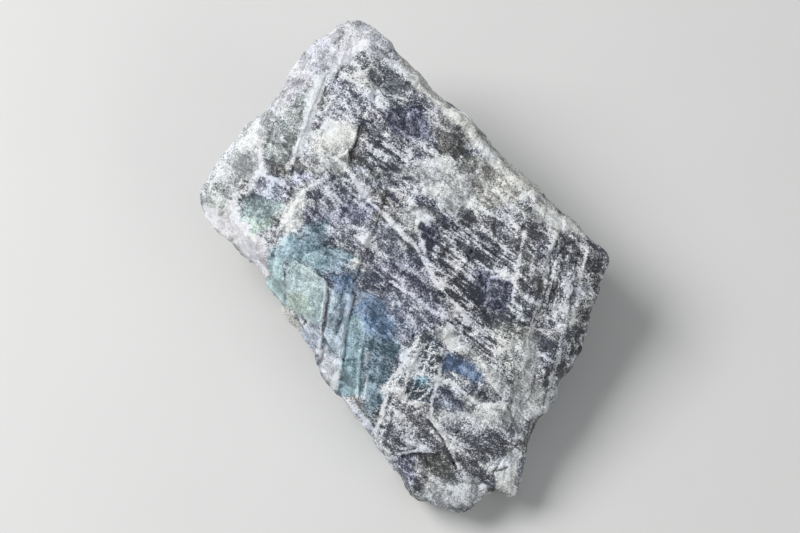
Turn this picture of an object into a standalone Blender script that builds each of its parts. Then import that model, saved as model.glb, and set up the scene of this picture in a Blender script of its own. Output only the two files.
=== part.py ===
"""Raw larvikite block: one piece of coarse feldspar rock, split along its cleavage and left rough.

Blender 4.5, metres, +Z up. The block is a single solid that stands on a flat cleavage face.
"""

import math

import bmesh
import bpy
import numpy as np
from mathutils import Matrix, Vector, noise

MM = 0.001
BLOCK_NAME = "larvikite_block"

# Layout plane: it lies against the broad upper face, which slopes down towards the block's thin tip.
# U runs across it, V up its slope and W out of it. Places on it are in millimetres.
FACE_LEAN_DEG = 20.0  # slope of the layout plane above level
LONG_SIDE_TURN_DEG = 53.0  # turn about Z that lays the long side of the block along X
FACE_CENTRE_HEIGHT = 16.5  # layout plane's centre above the ground
WALL_REACH = 34.0  # how far the outline is carried each way along W before the walls are cut
WALL_FLARE = 0.0036  # growth of the outline per millimetre of depth

# Broken rim of the block, seen square to the layout plane: (U, V) corners, clockwise from the top.
RIM = {
    "top_corner": [(-7.2, 30.2), (-5.8, 31.0), (-5.0, 31.0), (-3.0, 29.5)],
    "back_edge": [(-1.5, 28.0), (1.5, 24.0), (6.0, 19.5), (8.0, 18.6), (10.2, 15.5), (17.8, 9.0)],
    "shoulder": [(19.8, 6.8), (21.2, 6.0), (23.0, 4.2)],
    "end_point": [(25.5, 1.8), (26.0, 0.5), (25.2, -0.6)],
    "end_edge": [(23.0, -9.5), (21.0, -12.5), (20.0, -12.8), (18.0, -18.6), (17.2, -18.3), (15.8, -21.5)],
    "tip": [(14.3, -28.4), (13.8, -28.5), (12.0, -27.7), (10.7, -28.3), (8.2, -30.5), (7.3, -30.5)],
    "tip_notch": [(3.5, -29.2), (2.3, -29.3)],
    "front_edge": [(-3.4, -21.7), (-4.4, -19.8), (-7.0, -17.7), (-10.0, -13.4), (-10.3, -10.6)],
    "plate_edge": [(-14.8, -5.6), (-15.0, -4.5), (-16.5, -2.5), (-16.6, -1.5), (-20.0, 2.8)],
    "left_corner": [(-23.5, 5.8), (-24.7, 7.7), (-24.5, 9.0)],
    "left_edge": [(-20.5, 15.0), (-19.5, 17.7), (-17.0, 20.0), (-12.3, 26.8), (-10.5, 28.4), (-8.5, 29.1)],
}
CHIP_SPACING = 0.8  # length of the short chords that the rim is broken into
CHIP_DEPTH = 0.22  # how far the chips shift those chords
CHIP_RATE = 0.45  # waves of chipping per millimetre

# Cleavage and fracture planes that bound the block: name, compass of the outward normal on the
# layout plane, its tilt away from W, and a point (U, V, W) on the plane.
PLANES = [
    ("upper_face", 90.0, 5.0, (0.0, 0.0, 0.0)),
    ("lower_slope", -80.0, 6.0, (4.0, -14.0, 1.2)),
    ("end_shoulder", -14.0, 13.0, (17.5, -4.0, 0.3)),
    ("end_bevel", -20.0, 48.0, (21.0, -8.0, -0.3)),
    ("back_bevel", 47.0, 40.0, (12.0, 13.2, -1.1)),
    ("left_shoulder", 163.0, 18.0, (-11.5, 19.0, -1.7)),
    ("left_bevel", 148.0, 45.0, (-14.5, 20.5, -2.7)),
    ("left_foot", -149.0, 58.0, (-18.5, 3.7, -1.7)),
    ("front_wall", -142.0, 108.0, (-7.2, -18.0, -2.5)),
    ("front_wall_low", -139.0, 128.0, (-8.5, -8.5, -13.0)),
    ("end_wall", -21.0, 101.0, (24.5, -7.0, -4.5)),
    ("end_wall_low", -32.0, 122.0, (20.0, -8.0, -12.0)),
    ("tip_wall", -75.0, 97.0, (9.0, -31.2, -3.0)),
    ("back_wall", 46.0, 100.0, (14.0, 14.5, -4.0)),
    ("back_wall_low", 52.0, 116.0, (10.0, 13.0, -15.0)),
    ("back_corner", 15.0, 98.0, (24.6, 4.0, -9.0)),
    ("left_wall", 128.0, 97.0, (-11.5, 28.0, -8.0)),
    ("left_wall_low", 141.0, 114.0, (-17.0, 16.0, -14.0)),
    ("corner_wall", 178.0, 94.0, (-25.0, 8.0, -8.0)),
    ("top_wall", 98.0, 100.0, (-5.4, 31.6, -7.0)),
]
ROUGH_SIZE = 90.0  # side of the cube that the planes are cut from

# Ledges: cleavage steps across the upper face. Each runs through its (U, V) points, and the rock on
# the left of its run lies lower: by `drop` at the step, easing back over `ramp`.
LEDGES = [
    ("plate_edge", 0.45, 2.6, [
        (-13.0, 0.5), (-10.7, -0.8), (-9.3, -2.0), (-9.3, -3.2), (-9.6, -6.0), (-10.2, -10.6)]),
    ("plate_foot", 0.35, 2.2, [(-14.9, -5.4), (-14.6, -4.2), (-14.4, 0.4)]),
    ("rib_edge", 0.6, 4.5, [(-6.0, -3.5), (-6.8, -9.2), (-7.9, -16.0)]),
    ("strip_edge", 0.4, 1.2, [(-4.8, -10.4), (-5.4, -16.4)]),
    ("thin_strip_edge", 0.35, 1.2, [(-3.8, -13.1), (-4.4, -16.6)]),
    ("bowl_ridge", 0.9, 5.5, [(-3.6, -21.0), (-2.7, -19.6), (-1.5, -16.0), (0.4, -12.0), (1.9, -8.8)]),
    ("ridge_back", 0.45, 2.2, [(3.1, -9.6), (1.2, -13.2), (-0.2, -17.0)]),
    ("bowl_lip", 0.35, 4.0, [
        (2.5, -8.0), (-0.2, -4.6), (-1.9, -2.3), (-3.5, -0.2), (-6.0, 0.6), (-8.7, 1.0)]),
    ("long_vein", 0.35, 3.5, [
        (8.8, -7.0), (6.5, -4.2), (4.5, -2.0), (3.1, 0.6), (1.2, 3.3), (-1.0, 5.3), (-2.8, 6.8),
        (-4.8, 8.7), (-7.1, 12.7)]),
    ("pale_plate_edge", 0.6, 3.0, [(-5.1, 18.0), (-6.0, 14.6), (-6.6, 13.2)]),
    ("white_band_edge", 0.55, 2.2, [(-9.6, 23.8), (-11.2, 19.2), (-13.0, 14.4), (-13.6, 11.8)]),
    ("recess", 0.35, 2.4, [(14.0, -4.2), (14.3, -1.3), (11.6, -1.4)]),
    ("end_ridge", 0.8, 3.5, [
        (19.8, 4.2), (18.8, 1.4), (18.5, -1.0), (18.1, -3.2), (17.3, -6.0), (17.0, -7.4), (16.5, -9.2),
        (15.6, -12.4)]),
    ("end_step", 0.5, 2.0, [(22.3, 2.6), (22.1, -3.2), (21.5, -6.0)]),
    ("end_rim", 0.8, 1.8, [(20.3, -9.0), (19.9, -11.8), (19.4, -13.2), (18.7, -16.0), (18.1, -18.4)]),
    ("tip_crack", 0.5, 2.4, [(3.8, -19.0), (5.8, -21.8), (7.5, -25.3)]),
    ("corner_facet", 0.7, 3.6, [(4.3, -23.3), (1.4, -23.3), (-1.8, -23.8)]),
    ("blue_step", 0.35, 1.8, [(6.3, -8.3), (5.1, -13.0), (3.9, -16.6), (3.7, -19.0)]),
]
LEDGE_SHARPNESS = 0.22  # half width of a step's face
LEDGE_FADE = 1.6  # distance over which a step dies out at its ends
LEDGE_WAVER = 0.25  # how far a ledge strays from its straight runs
WAVER_RATE = 0.35  # waves of that straying per millimetre
FACING_UP = (0.35, 0.7)  # upright share of the normal over which ledges fade in

# Relief of the broken faces: heights in millimetres, rates in waves per millimetre.
GRAIN_TURN_DEG = 14.0  # turn of the cleavage sheets' long direction away from V
SHEET_LEVELS = 4  # sheets to each unit of noise
SHEET_RISER = (0.32, 0.68)  # share of each sheet's spacing that its riser takes up
SHEET_NOISE = (0.9, 2.1, 2)  # how fast the octaves fade, their frequency ratio and their number
GRAIN_NOISE = (0.9, 2.0, 2)
WALL_NORMALS = (0.45, 0.8)  # upright share of the normal over which a wall becomes the upper face
RIM_BAND = (2.0, 11.0)  # depths below the rim over which the walls grow rougher
TOP_SWELL, TOP_SWELL_RATE = 0.16, 0.09
TOP_SHEETS, TOP_SHEET_RATES = 0.34, (0.17, 0.06, 0.1)  # rates across, along and through the sheets
WALL_SWELL, WALL_SWELL_GROWTH, WALL_SWELL_RATE = 0.15, 0.75, 0.07
WALL_SHEETS, WALL_SHEETS_GROWTH = 0.3, 0.9
WALL_LAYER_RATES = (0.045, 0.045, 0.26)
WALL_POST_RATES, WALL_POST_SHARE, WALL_POST_OFFSET = (0.2, 0.04, 0.07), 0.7, 5.0
GRAIN, GRAIN_RATE = 0.09, 0.42

# Surface build
MERGE = 0.01  # points this close are one
VOXEL = 0.42  # spacing of the working mesh
TRIANGLES = 9000  # triangles of the finished solid
GRID_PLACES = 6  # decimals of a metre that the working mesh is rounded to
RANK_STRIDE = 1e3  # keeps the sort by X ahead of Y, and Y ahead of Z
BASE_TRIM = 0.5  # thickness taken off the underside to leave a flat resting face
FOOT_FADE = 2.2  # height over which the relief dies out towards the underside
STONE_COLOUR = (0.42, 0.44, 0.47, 1.0)
STONE_ROUGHNESS = 0.55


def clear_scene():
    for obj in list(bpy.data.objects):
        bpy.data.objects.remove(obj, do_unlink=True)


def collection_named(name):
    made = bpy.data.collections.new(name)
    bpy.context.scene.collection.children.link(made)
    return made


def layout_matrix():
    """Carries (U, V, W) in metres on the layout plane to the part's own frame."""
    lift = Matrix.Translation((0.0, 0.0, FACE_CENTRE_HEIGHT * MM))
    turn = Matrix.Rotation(math.radians(LONG_SIDE_TURN_DEG), 4, "Z")
    lean = Matrix.Rotation(math.radians(FACE_LEAN_DEG), 4, "X")
    return lift @ turn @ lean


def object_of(name, mesh, collection):
    obj = bpy.data.objects.new(name, mesh)
    collection.objects.link(obj)
    return obj


def as_cutter(obj):
    obj.hide_render = True
    obj.display_type = "WIRE"
    return obj


def evaluated_mesh(obj):
    graph = bpy.context.evaluated_depsgraph_get()
    return bpy.data.meshes.new_from_object(obj.evaluated_get(graph))


def chipped(start, end):
    """Points from one corner of the rim to the next, shifted sideways by small chips."""
    start, end = Vector((*start, 0.0)), Vector((*end, 0.0))
    way = end - start
    outward = Vector((-way.y, way.x, 0.0)).normalized()
    count = max(1, round(way.length / CHIP_SPACING))
    points = [start]
    for i in range(1, count):
        place = start + way * (i / count)
        points.append(place + outward * (CHIP_DEPTH * noise.noise(place * CHIP_RATE)))
    return points


def rim_points():
    corners = [corner for stretch in RIM.values() for corner in stretch]
    return [point for start, end in zip(corners, corners[1:] + corners[:1]) for point in chipped(start, end)]


def rim_prism(collection):
    """The rim's outline carried along W, flaring a little with depth."""
    curve = bpy.data.curves.new("rim_outline", "CURVE")
    curve.dimensions = "2D"
    curve.fill_mode = "BOTH"
    curve.extrude = WALL_REACH * MM
    spline = curve.splines.new("POLY")
    places = rim_points()
    spline.points.add(len(places) - 1)
    for point, place in zip(spline.points, places):
        point.co = (*(place * MM), 1.0)
    spline.use_cyclic_u = True
    outline = object_of("rim_outline", curve, collection)
    mesh = evaluated_mesh(outline)
    bpy.data.objects.remove(outline, do_unlink=True)

    shape = bmesh.new()
    shape.from_mesh(mesh)
    bmesh.ops.remove_doubles(shape, verts=shape.verts, dist=MERGE * MM)
    for vert in shape.verts:
        spread = 1.0 - WALL_FLARE * vert.co.z / MM
        vert.co.x *= spread
        vert.co.y *= spread
    bmesh.ops.recalc_face_normals(shape, faces=shape.faces)
    shape.to_mesh(mesh)
    shape.free()
    return as_cutter(object_of("rim_prism", mesh, collection))


def plane_normal(compass_deg, tilt_deg):
    compass, tilt = math.radians(compass_deg), math.radians(tilt_deg)
    return Vector((math.cos(compass) * math.sin(tilt), math.sin(compass) * math.sin(tilt), math.cos(tilt)))


def cut_by_plane(shape, point, normal):
    """Takes off what lies beyond the plane and closes the cut."""
    everything = shape.verts[:] + shape.edges[:] + shape.faces[:]
    cut = bmesh.ops.bisect_plane(shape, geom=everything, plane_co=point, plane_no=normal, clear_outer=True)
    rim = [item for item in cut["geom_cut"] if isinstance(item, bmesh.types.BMEdge)]
    if rim:
        bmesh.ops.contextual_create(shape, geom=rim)


def cleavage_block(collection):
    """The convex body that the cleavage and fracture planes enclose, in the layout frame."""
    shape = bmesh.new()
    bmesh.ops.create_cube(shape, size=ROUGH_SIZE * MM)
    for _name, compass, tilt, point in PLANES:
        cut_by_plane(shape, Vector(point) * MM, plane_normal(compass, tilt))
    ground = layout_matrix().inverted()
    down = (ground.to_3x3() @ Vector((0.0, 0.0, -1.0))).normalized()
    cut_by_plane(shape, ground @ Vector((0.0, 0.0, 0.0)), down)
    bmesh.ops.recalc_face_normals(shape, faces=shape.faces)
    mesh = bpy.data.meshes.new(BLOCK_NAME)
    shape.to_mesh(mesh)
    shape.free()
    return object_of(BLOCK_NAME, mesh, collection)


def apply_modifiers(obj):
    """Gives the object the mesh that its modifiers make."""
    mesh = evaluated_mesh(obj)
    obj.modifiers.clear()
    old, obj.data = obj.data, mesh
    bpy.data.meshes.remove(old)


def trim_to_rim(block, prism):
    cut = block.modifiers.new("rim", "BOOLEAN")
    cut.operation = "INTERSECT"
    cut.solver = "EXACT"
    cut.object = prism
    skin = block.modifiers.new("working_mesh", "REMESH")
    skin.mode = "VOXEL"
    skin.voxel_size = VOXEL * MM
    apply_modifiers(block)
    settle_order(block)


def rank(place):
    return (place.x * RANK_STRIDE + place.y) * RANK_STRIDE + place.z


def settle_order(obj):
    """Numbers the points and faces by where they lie, so that every build is the same."""
    shape = bmesh.new()
    shape.from_mesh(obj.data)
    for vert in shape.verts:
        vert.co = [round(c, GRID_PLACES) for c in vert.co]
    shape.verts.sort(key=lambda vert: rank(vert.co))
    shape.faces.sort(key=lambda face: rank(face.calc_center_median()))
    shape.to_mesh(obj.data)
    shape.free()


def smooth_step(low, high, x):
    t = np.clip((x - low) / (high - low), 0.0, 1.0)
    return t * t * (3.0 - 2.0 * t)


def ledge_drop(places, drop, ramp, run):
    """How far the rock at each (U, V) place lies below its face because of one ledge, in millimetres."""
    nearest = np.full(len(places), np.inf)
    side, beyond = np.zeros(len(places)), np.zeros(len(places))
    last = len(run) - 2
    for i, (start, end) in enumerate(zip(run, run[1:])):
        length = math.dist(start, end)
        way = np.subtract(end, start) / length
        offset = places - start
        along = offset @ way
        away = np.hypot(*(offset - np.outer(np.clip(along, 0.0, length), way)).T)
        past_start = -along if i == 0 else np.zeros(len(places))
        past_end = along - length if i == last else np.zeros(len(places))
        closer = away < nearest
        nearest[closer] = away[closer]
        side[closer] = np.sign(offset @ (-way[1], way[0]))[closer]
        beyond[closer] = np.maximum(past_start, past_end).clip(0.0)[closer]
    step = smooth_step(-LEDGE_SHARPNESS, LEDGE_SHARPNESS, side * nearest)
    ease = 1.0 - smooth_step(0.0, ramp, side * nearest)
    return drop * step * ease * (1.0 - smooth_step(0.0, LEDGE_FADE, beyond))


def waver(place, seed):
    """A small sideways shift, in millimetres, that keeps the ledges from running dead straight."""
    return LEDGE_WAVER * noise.noise(place / MM * WAVER_RATE + Vector((seed, seed, seed)))


def carve_ledges(block):
    """Sinks the upper face along each ledge."""
    verts = block.data.vertices
    facing = smooth_step(*FACING_UP, np.array([v.normal.z for v in verts]))
    places = np.array([(v.co.x / MM + waver(v.co, 0.0), v.co.y / MM + waver(v.co, 3.7)) for v in verts])
    sunk = sum(ledge_drop(places, drop, ramp, run) for _name, drop, ramp, run in LEDGES)
    for vert, depth in zip(verts, facing * sunk):
        vert.co.z -= depth * MM
    block.data.update()


def in_sheets(height):
    """Turns a smooth height into thin sheets with short risers between them."""
    level = height * SHEET_LEVELS
    return (math.floor(level) + smooth_step(*SHEET_RISER, level % 1.0)) / SHEET_LEVELS


def sheets(place, rates, offset=0.0):
    """Sheeted noise at a place given as (across, along, through) the grain."""
    scaled = Vector([c * rate for c, rate in zip(place, rates)])
    return in_sheets(noise.fractal(scaled + Vector((0.0, 0.0, offset)), *SHEET_NOISE))


def top_relief(place, along_grain):
    return TOP_SWELL * noise.noise(place * TOP_SWELL_RATE) + TOP_SHEETS * sheets(along_grain, TOP_SHEET_RATES)


def wall_relief(place, along_grain):
    below_rim = smooth_step(*RIM_BAND, -place.z)
    swell = (WALL_SWELL + WALL_SWELL_GROWTH * below_rim) * noise.noise(place * WALL_SWELL_RATE)
    layers = sheets(place, WALL_LAYER_RATES)
    posts = WALL_POST_SHARE * sheets(along_grain, WALL_POST_RATES, WALL_POST_OFFSET)
    return swell + (WALL_SHEETS + WALL_SHEETS_GROWTH * below_rim) * (layers + posts)


def fracture_relief(spot, normal):
    """Height of the broken surface over its plane at one spot of the layout frame, in millimetres."""
    place = spot / MM
    along_grain = Matrix.Rotation(math.radians(GRAIN_TURN_DEG), 3, "Z") @ place
    top = smooth_step(*WALL_NORMALS, normal.z)
    relief = top * top_relief(place, along_grain) + (1.0 - top) * wall_relief(place, along_grain)
    return relief + GRAIN * noise.fractal(place * GRAIN_RATE, *GRAIN_NOISE)


def roughen(block):
    """Breaks every face up the way split feldspar breaks: in thin sheets with a grain between them."""
    to_part = layout_matrix()
    moved = []
    for vert in block.data.vertices:
        foot = smooth_step(BASE_TRIM, FOOT_FADE, (to_part @ vert.co).z / MM)
        moved.append(vert.co + vert.normal * (fracture_relief(vert.co, vert.normal) * foot * MM))
    for vert, place in zip(block.data.vertices, moved):
        vert.co = place
    block.data.update()


def thin_out(block):
    """Keeps the triangles where the relief needs them."""
    fewer = block.modifiers.new("fewer_triangles", "DECIMATE")
    fewer.ratio = TRIANGLES / (2 * len(block.data.polygons))
    apply_modifiers(block)


def stand_on_base(block):
    """Turns the block from the layout frame to the part's and trims the underside flat."""
    block.data.transform(layout_matrix())
    shape = bmesh.new()
    shape.from_mesh(block.data)
    cut_by_plane(shape, Vector((0.0, 0.0, BASE_TRIM * MM)), Vector((0.0, 0.0, -1.0)))
    bmesh.ops.triangulate(shape, faces=shape.faces)
    bmesh.ops.recalc_face_normals(shape, faces=shape.faces)
    shape.to_mesh(block.data)
    shape.free()


def centre_over_origin(block):
    """Puts the middle of the box round the block over the origin, and its flat base on the ground."""
    corners = np.array([v.co for v in block.data.vertices])
    middle = (corners.min(axis=0) + corners.max(axis=0)) / 2.0
    block.data.transform(Matrix.Translation((-middle[0], -middle[1], -BASE_TRIM * MM)))


def stone_material():
    stone = bpy.data.materials.new("larvikite")
    stone.use_nodes = True
    shader = stone.node_tree.nodes["Principled BSDF"]
    shader.inputs["Base Color"].default_value = STONE_COLOUR
    shader.inputs["Roughness"].default_value = STONE_ROUGHNESS
    shader.inputs["Metallic"].default_value = 0.0
    return stone


def main():
    clear_scene()
    parts = collection_named("raw_larvikite_block")
    cutters = collection_named("cutters")
    prism = rim_prism(cutters)
    block = cleavage_block(parts)
    trim_to_rim(block, prism)
    carve_ledges(block)
    roughen(block)
    thin_out(block)
    stand_on_base(block)
    centre_over_origin(block)
    block.data.materials.append(stone_material())


main()
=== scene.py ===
"""Raw larvikite block: the frosty, veined and sheened surface of a broken feldspar block.

Blender 4.5, metres, +Z up. Laid out as an add-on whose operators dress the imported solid.
"""

import math
from typing import NamedTuple

import bpy
import numpy as np
from bpy.props import FloatProperty, FloatVectorProperty, IntProperty, PointerProperty
from mathutils import Matrix, Vector, noise


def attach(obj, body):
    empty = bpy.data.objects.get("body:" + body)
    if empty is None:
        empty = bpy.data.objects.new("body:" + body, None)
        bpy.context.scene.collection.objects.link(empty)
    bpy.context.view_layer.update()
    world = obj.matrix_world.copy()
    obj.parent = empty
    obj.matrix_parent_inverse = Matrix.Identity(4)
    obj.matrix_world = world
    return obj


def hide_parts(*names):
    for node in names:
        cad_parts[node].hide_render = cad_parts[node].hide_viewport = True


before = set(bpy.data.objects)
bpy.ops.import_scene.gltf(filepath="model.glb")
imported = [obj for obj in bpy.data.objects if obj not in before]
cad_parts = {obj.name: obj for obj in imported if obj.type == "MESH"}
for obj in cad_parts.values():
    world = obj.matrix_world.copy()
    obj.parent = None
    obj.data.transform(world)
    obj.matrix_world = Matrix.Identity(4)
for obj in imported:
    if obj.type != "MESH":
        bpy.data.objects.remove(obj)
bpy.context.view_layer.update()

bl_info = {
    "name": "Raw Larvikite Block",
    "version": (1, 0, 0),
    "blender": (4, 5, 0),
    "location": "View3D > Sidebar > Larvikite",
    "description": "Breaks, frosts and lights a block of raw larvikite",
    "category": "Object",
}

MM = 0.001
STONE = "larvikite_stone"
SOLID = "larvikite_block"
BODY = "root"
SLOT = "larvikite"

# Layout plane: it lies against the broad upper face. U runs across it, V up its slope and W out of
# it, and places on it are (U, V) in millimetres, as they look from SIGHT_DISTANCE out along W.
FACE_LEAN_DEG = 20.0
FACE_TURN_DEG = 53.0
FACE_MIDDLE = (0.47, -4.57, 16.0)
SIGHT_DISTANCE = 278.0

# Cleavage steps that the solid carries too: name, drop, ramp, and the run with the low side on its
# left. They are cut sharp again here.
LEDGES = [
    ("plate_edge", 0.45, 2.6, [
        (-13.0, 0.5), (-10.7, -0.8), (-9.3, -2.0), (-9.3, -3.2), (-9.6, -6.0), (-10.2, -10.6)]),
    ("plate_foot", 0.35, 2.2, [(-14.9, -5.4), (-14.6, -4.2), (-14.4, 0.4)]),
    ("rib_edge", 0.6, 4.5, [(-6.0, -3.5), (-6.8, -9.2), (-7.9, -16.0)]),
    ("strip_edge", 0.4, 1.2, [(-4.8, -10.4), (-5.4, -16.4)]),
    ("thin_strip_edge", 0.35, 1.2, [(-3.8, -13.1), (-4.4, -16.6)]),
    ("bowl_ridge", 0.9, 5.5, [(-3.6, -21.0), (-2.7, -19.6), (-1.5, -16.0), (0.4, -12.0), (1.9, -8.8)]),
    ("bowl_lip", 0.35, 4.0, [
        (2.5, -8.0), (-0.2, -4.6), (-1.9, -2.3), (-3.5, -0.2), (-6.0, 0.6), (-8.7, 1.0)]),
    ("long_vein", 0.35, 3.5, [
        (8.8, -7.0), (6.5, -4.2), (4.5, -2.0), (3.1, 0.6), (1.2, 3.3), (-1.0, 5.3), (-2.8, 6.8),
        (-4.8, 8.7), (-7.1, 12.7)]),
    ("pale_plate_edge", 0.4, 3.0, [(-5.1, 18.0), (-6.0, 14.6), (-6.6, 13.2)]),
    ("white_band_edge", 0.3, 2.2, [(-9.6, 23.8), (-11.2, 19.2), (-13.0, 14.4), (-13.6, 11.8)]),
    ("recess", 0.35, 2.4, [(14.0, -4.2), (14.3, -1.3), (11.6, -1.4)]),
    ("end_ridge", 0.5, 3.5, [
        (19.8, 4.2), (18.8, 1.4), (18.5, -1.0), (18.1, -3.2), (17.3, -6.0), (17.0, -7.4), (16.5, -9.2),
        (15.6, -12.4)]),
    ("end_step", 0.4, 2.0, [(22.3, 2.6), (22.1, -3.2), (21.5, -6.0)]),
    ("end_rim", 0.8, 1.8, [(20.3, -9.0), (19.9, -11.8), (19.4, -13.2), (18.7, -16.0), (18.1, -18.4)]),
    ("tip_crack", 0.35, 2.4, [(3.8, -19.0), (5.8, -21.8), (7.5, -25.3)]),
    ("corner_facet", 0.7, 3.6, [(4.3, -23.3), (1.4, -23.3), (-1.8, -23.8)]),
]
LEDGE_CRISP, LEDGE_SOFT = 0.09, 0.6  # half width of a cut step's face, and of the step it replaces
LEDGE_FADE = 1.6  # distance over which a step dies out at its ends
LEDGE_WAVER, WAVER_RATES = 0.30, (0.35, 1.3)  # how far a step wavers, in millimetres, and how fast
LIP_SHIFT, LIP_WIDTH = 0.06, 0.24  # the frosted lip: how far its middle lies up from the step, and its reach


class Finish(NamedTuple):
    """One look of the stone. The shares run from 0 to 1."""

    # In the teal, blue, green, sea and strip finishes the tint is partly painted sheen, the feldspar's
    # schiller.
    tint: tuple  # colour of the crystal between the frost, as seen
    frost: float  # share of the surface that is frosted white
    speckle: float  # contrast of the frost against the crystal
    streak: float = 0.0  # share of the grain drawn out along the streaks
    stria: float = 0.0  # share of the grain drawn out along the cleavage lines


FINISHES = {
    "white": Finish((0.61, 0.62, 0.625), 0.78, 0.52, 0.0, 0.35),
    "bright": Finish((0.74, 0.74, 0.73), 0.96, 0.50),
    "cream": Finish((0.72, 0.72, 0.70), 0.80, 0.45),
    "pale_grey": Finish((0.60, 0.605, 0.60), 0.92, 0.55),
    "lilac_white": Finish((0.60, 0.60, 0.63), 0.73, 0.45, 0.0, 0.35),
    "rose_white": Finish((0.72, 0.715, 0.74), 0.95, 0.28),
    "crumbled": Finish((0.32, 0.36, 0.41), 0.46, 1.20),
    "grey_crumbs": Finish((0.36, 0.38, 0.41), 0.62, 1.05),
    "bright_crumbs": Finish((0.42, 0.44, 0.43), 0.74, 1.05),
    "cells": Finish((0.24, 0.29, 0.34), 0.24, 1.0),
    "pool": Finish((0.24, 0.26, 0.31), 0.08, 0.50),
    "beige": Finish((0.47, 0.47, 0.455), 0.36, 0.52),
    "grey": Finish((0.32, 0.33, 0.36), 0.55, 0.95, 0.25),
    "grey_green": Finish((0.47, 0.50, 0.49), 0.60, 0.55, 0.0, 0.4),
    "lilac_grey": Finish((0.325, 0.34, 0.395), 0.59, 0.80, 0.1),
    "indigo_grey": Finish((0.28, 0.29, 0.35), 0.50, 0.95, 0.2),
    "indigo": Finish((0.29, 0.30, 0.38), 0.44, 0.70),
    "navy": Finish((0.20, 0.21, 0.28), 0.16, 0.50, 0.0, 0.3),
    # Dark finish of the painted shadows.
    "shadow_ink": Finish((0.22, 0.225, 0.24), 0.36, 0.80),
    "brown": Finish((0.31, 0.31, 0.31), 0.30, 0.60),
    "streaked": Finish((0.265, 0.275, 0.315), 0.42, 0.9, 1.0),
    "layered": Finish((0.29, 0.30, 0.33), 0.45, 0.95, 0.0, 0.7),
    # These teal, blue, green, sea and strip finishes paint the feldspar's blue-green schiller, which shows
    # only at some angles, into the colour: painted sheen over the dark crystal.
    "teal_sheen": Finish((0.42, 0.53, 0.57), 0.48, 0.22, 0.0, 0.4),
    "dark_teal_sheen": Finish((0.29, 0.38, 0.43), 0.40, 0.38, 0.0, 0.2),
    "deep_teal_sheen": Finish((0.22, 0.34, 0.38), 0.04, 0.35),
    "pale_teal_sheen": Finish((0.57, 0.68, 0.69), 0.64, 0.22, 0.0, 0.6),
    "pale_green_sheen": Finish((0.585, 0.665, 0.68), 0.64, 0.20, 0.0, 0.5),
    "moss_sheen": Finish((0.53, 0.60, 0.56), 0.56, 0.30, 0.0, 0.2),
    "moss_dark": Finish((0.37, 0.38, 0.34), 0.42, 0.75),
    "blue_sheen": Finish((0.28, 0.38, 0.49), 0.45, 0.32, 0.0, 0.2),
    "deep_blue_sheen": Finish((0.27, 0.35, 0.46), 0.12, 0.28),
    "blue_grey": Finish((0.38, 0.42, 0.51), 0.64, 0.85),
    "sea_sheen": Finish((0.47, 0.54, 0.545), 0.30, 0.32, 0.0, 0.3),
    "lilac_blue_sheen": Finish((0.48, 0.52, 0.585), 0.56, 0.35),
    "strip_sheen": Finish((0.42, 0.49, 0.54), 0.56, 0.40, 0.0, 0.9),
}
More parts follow.
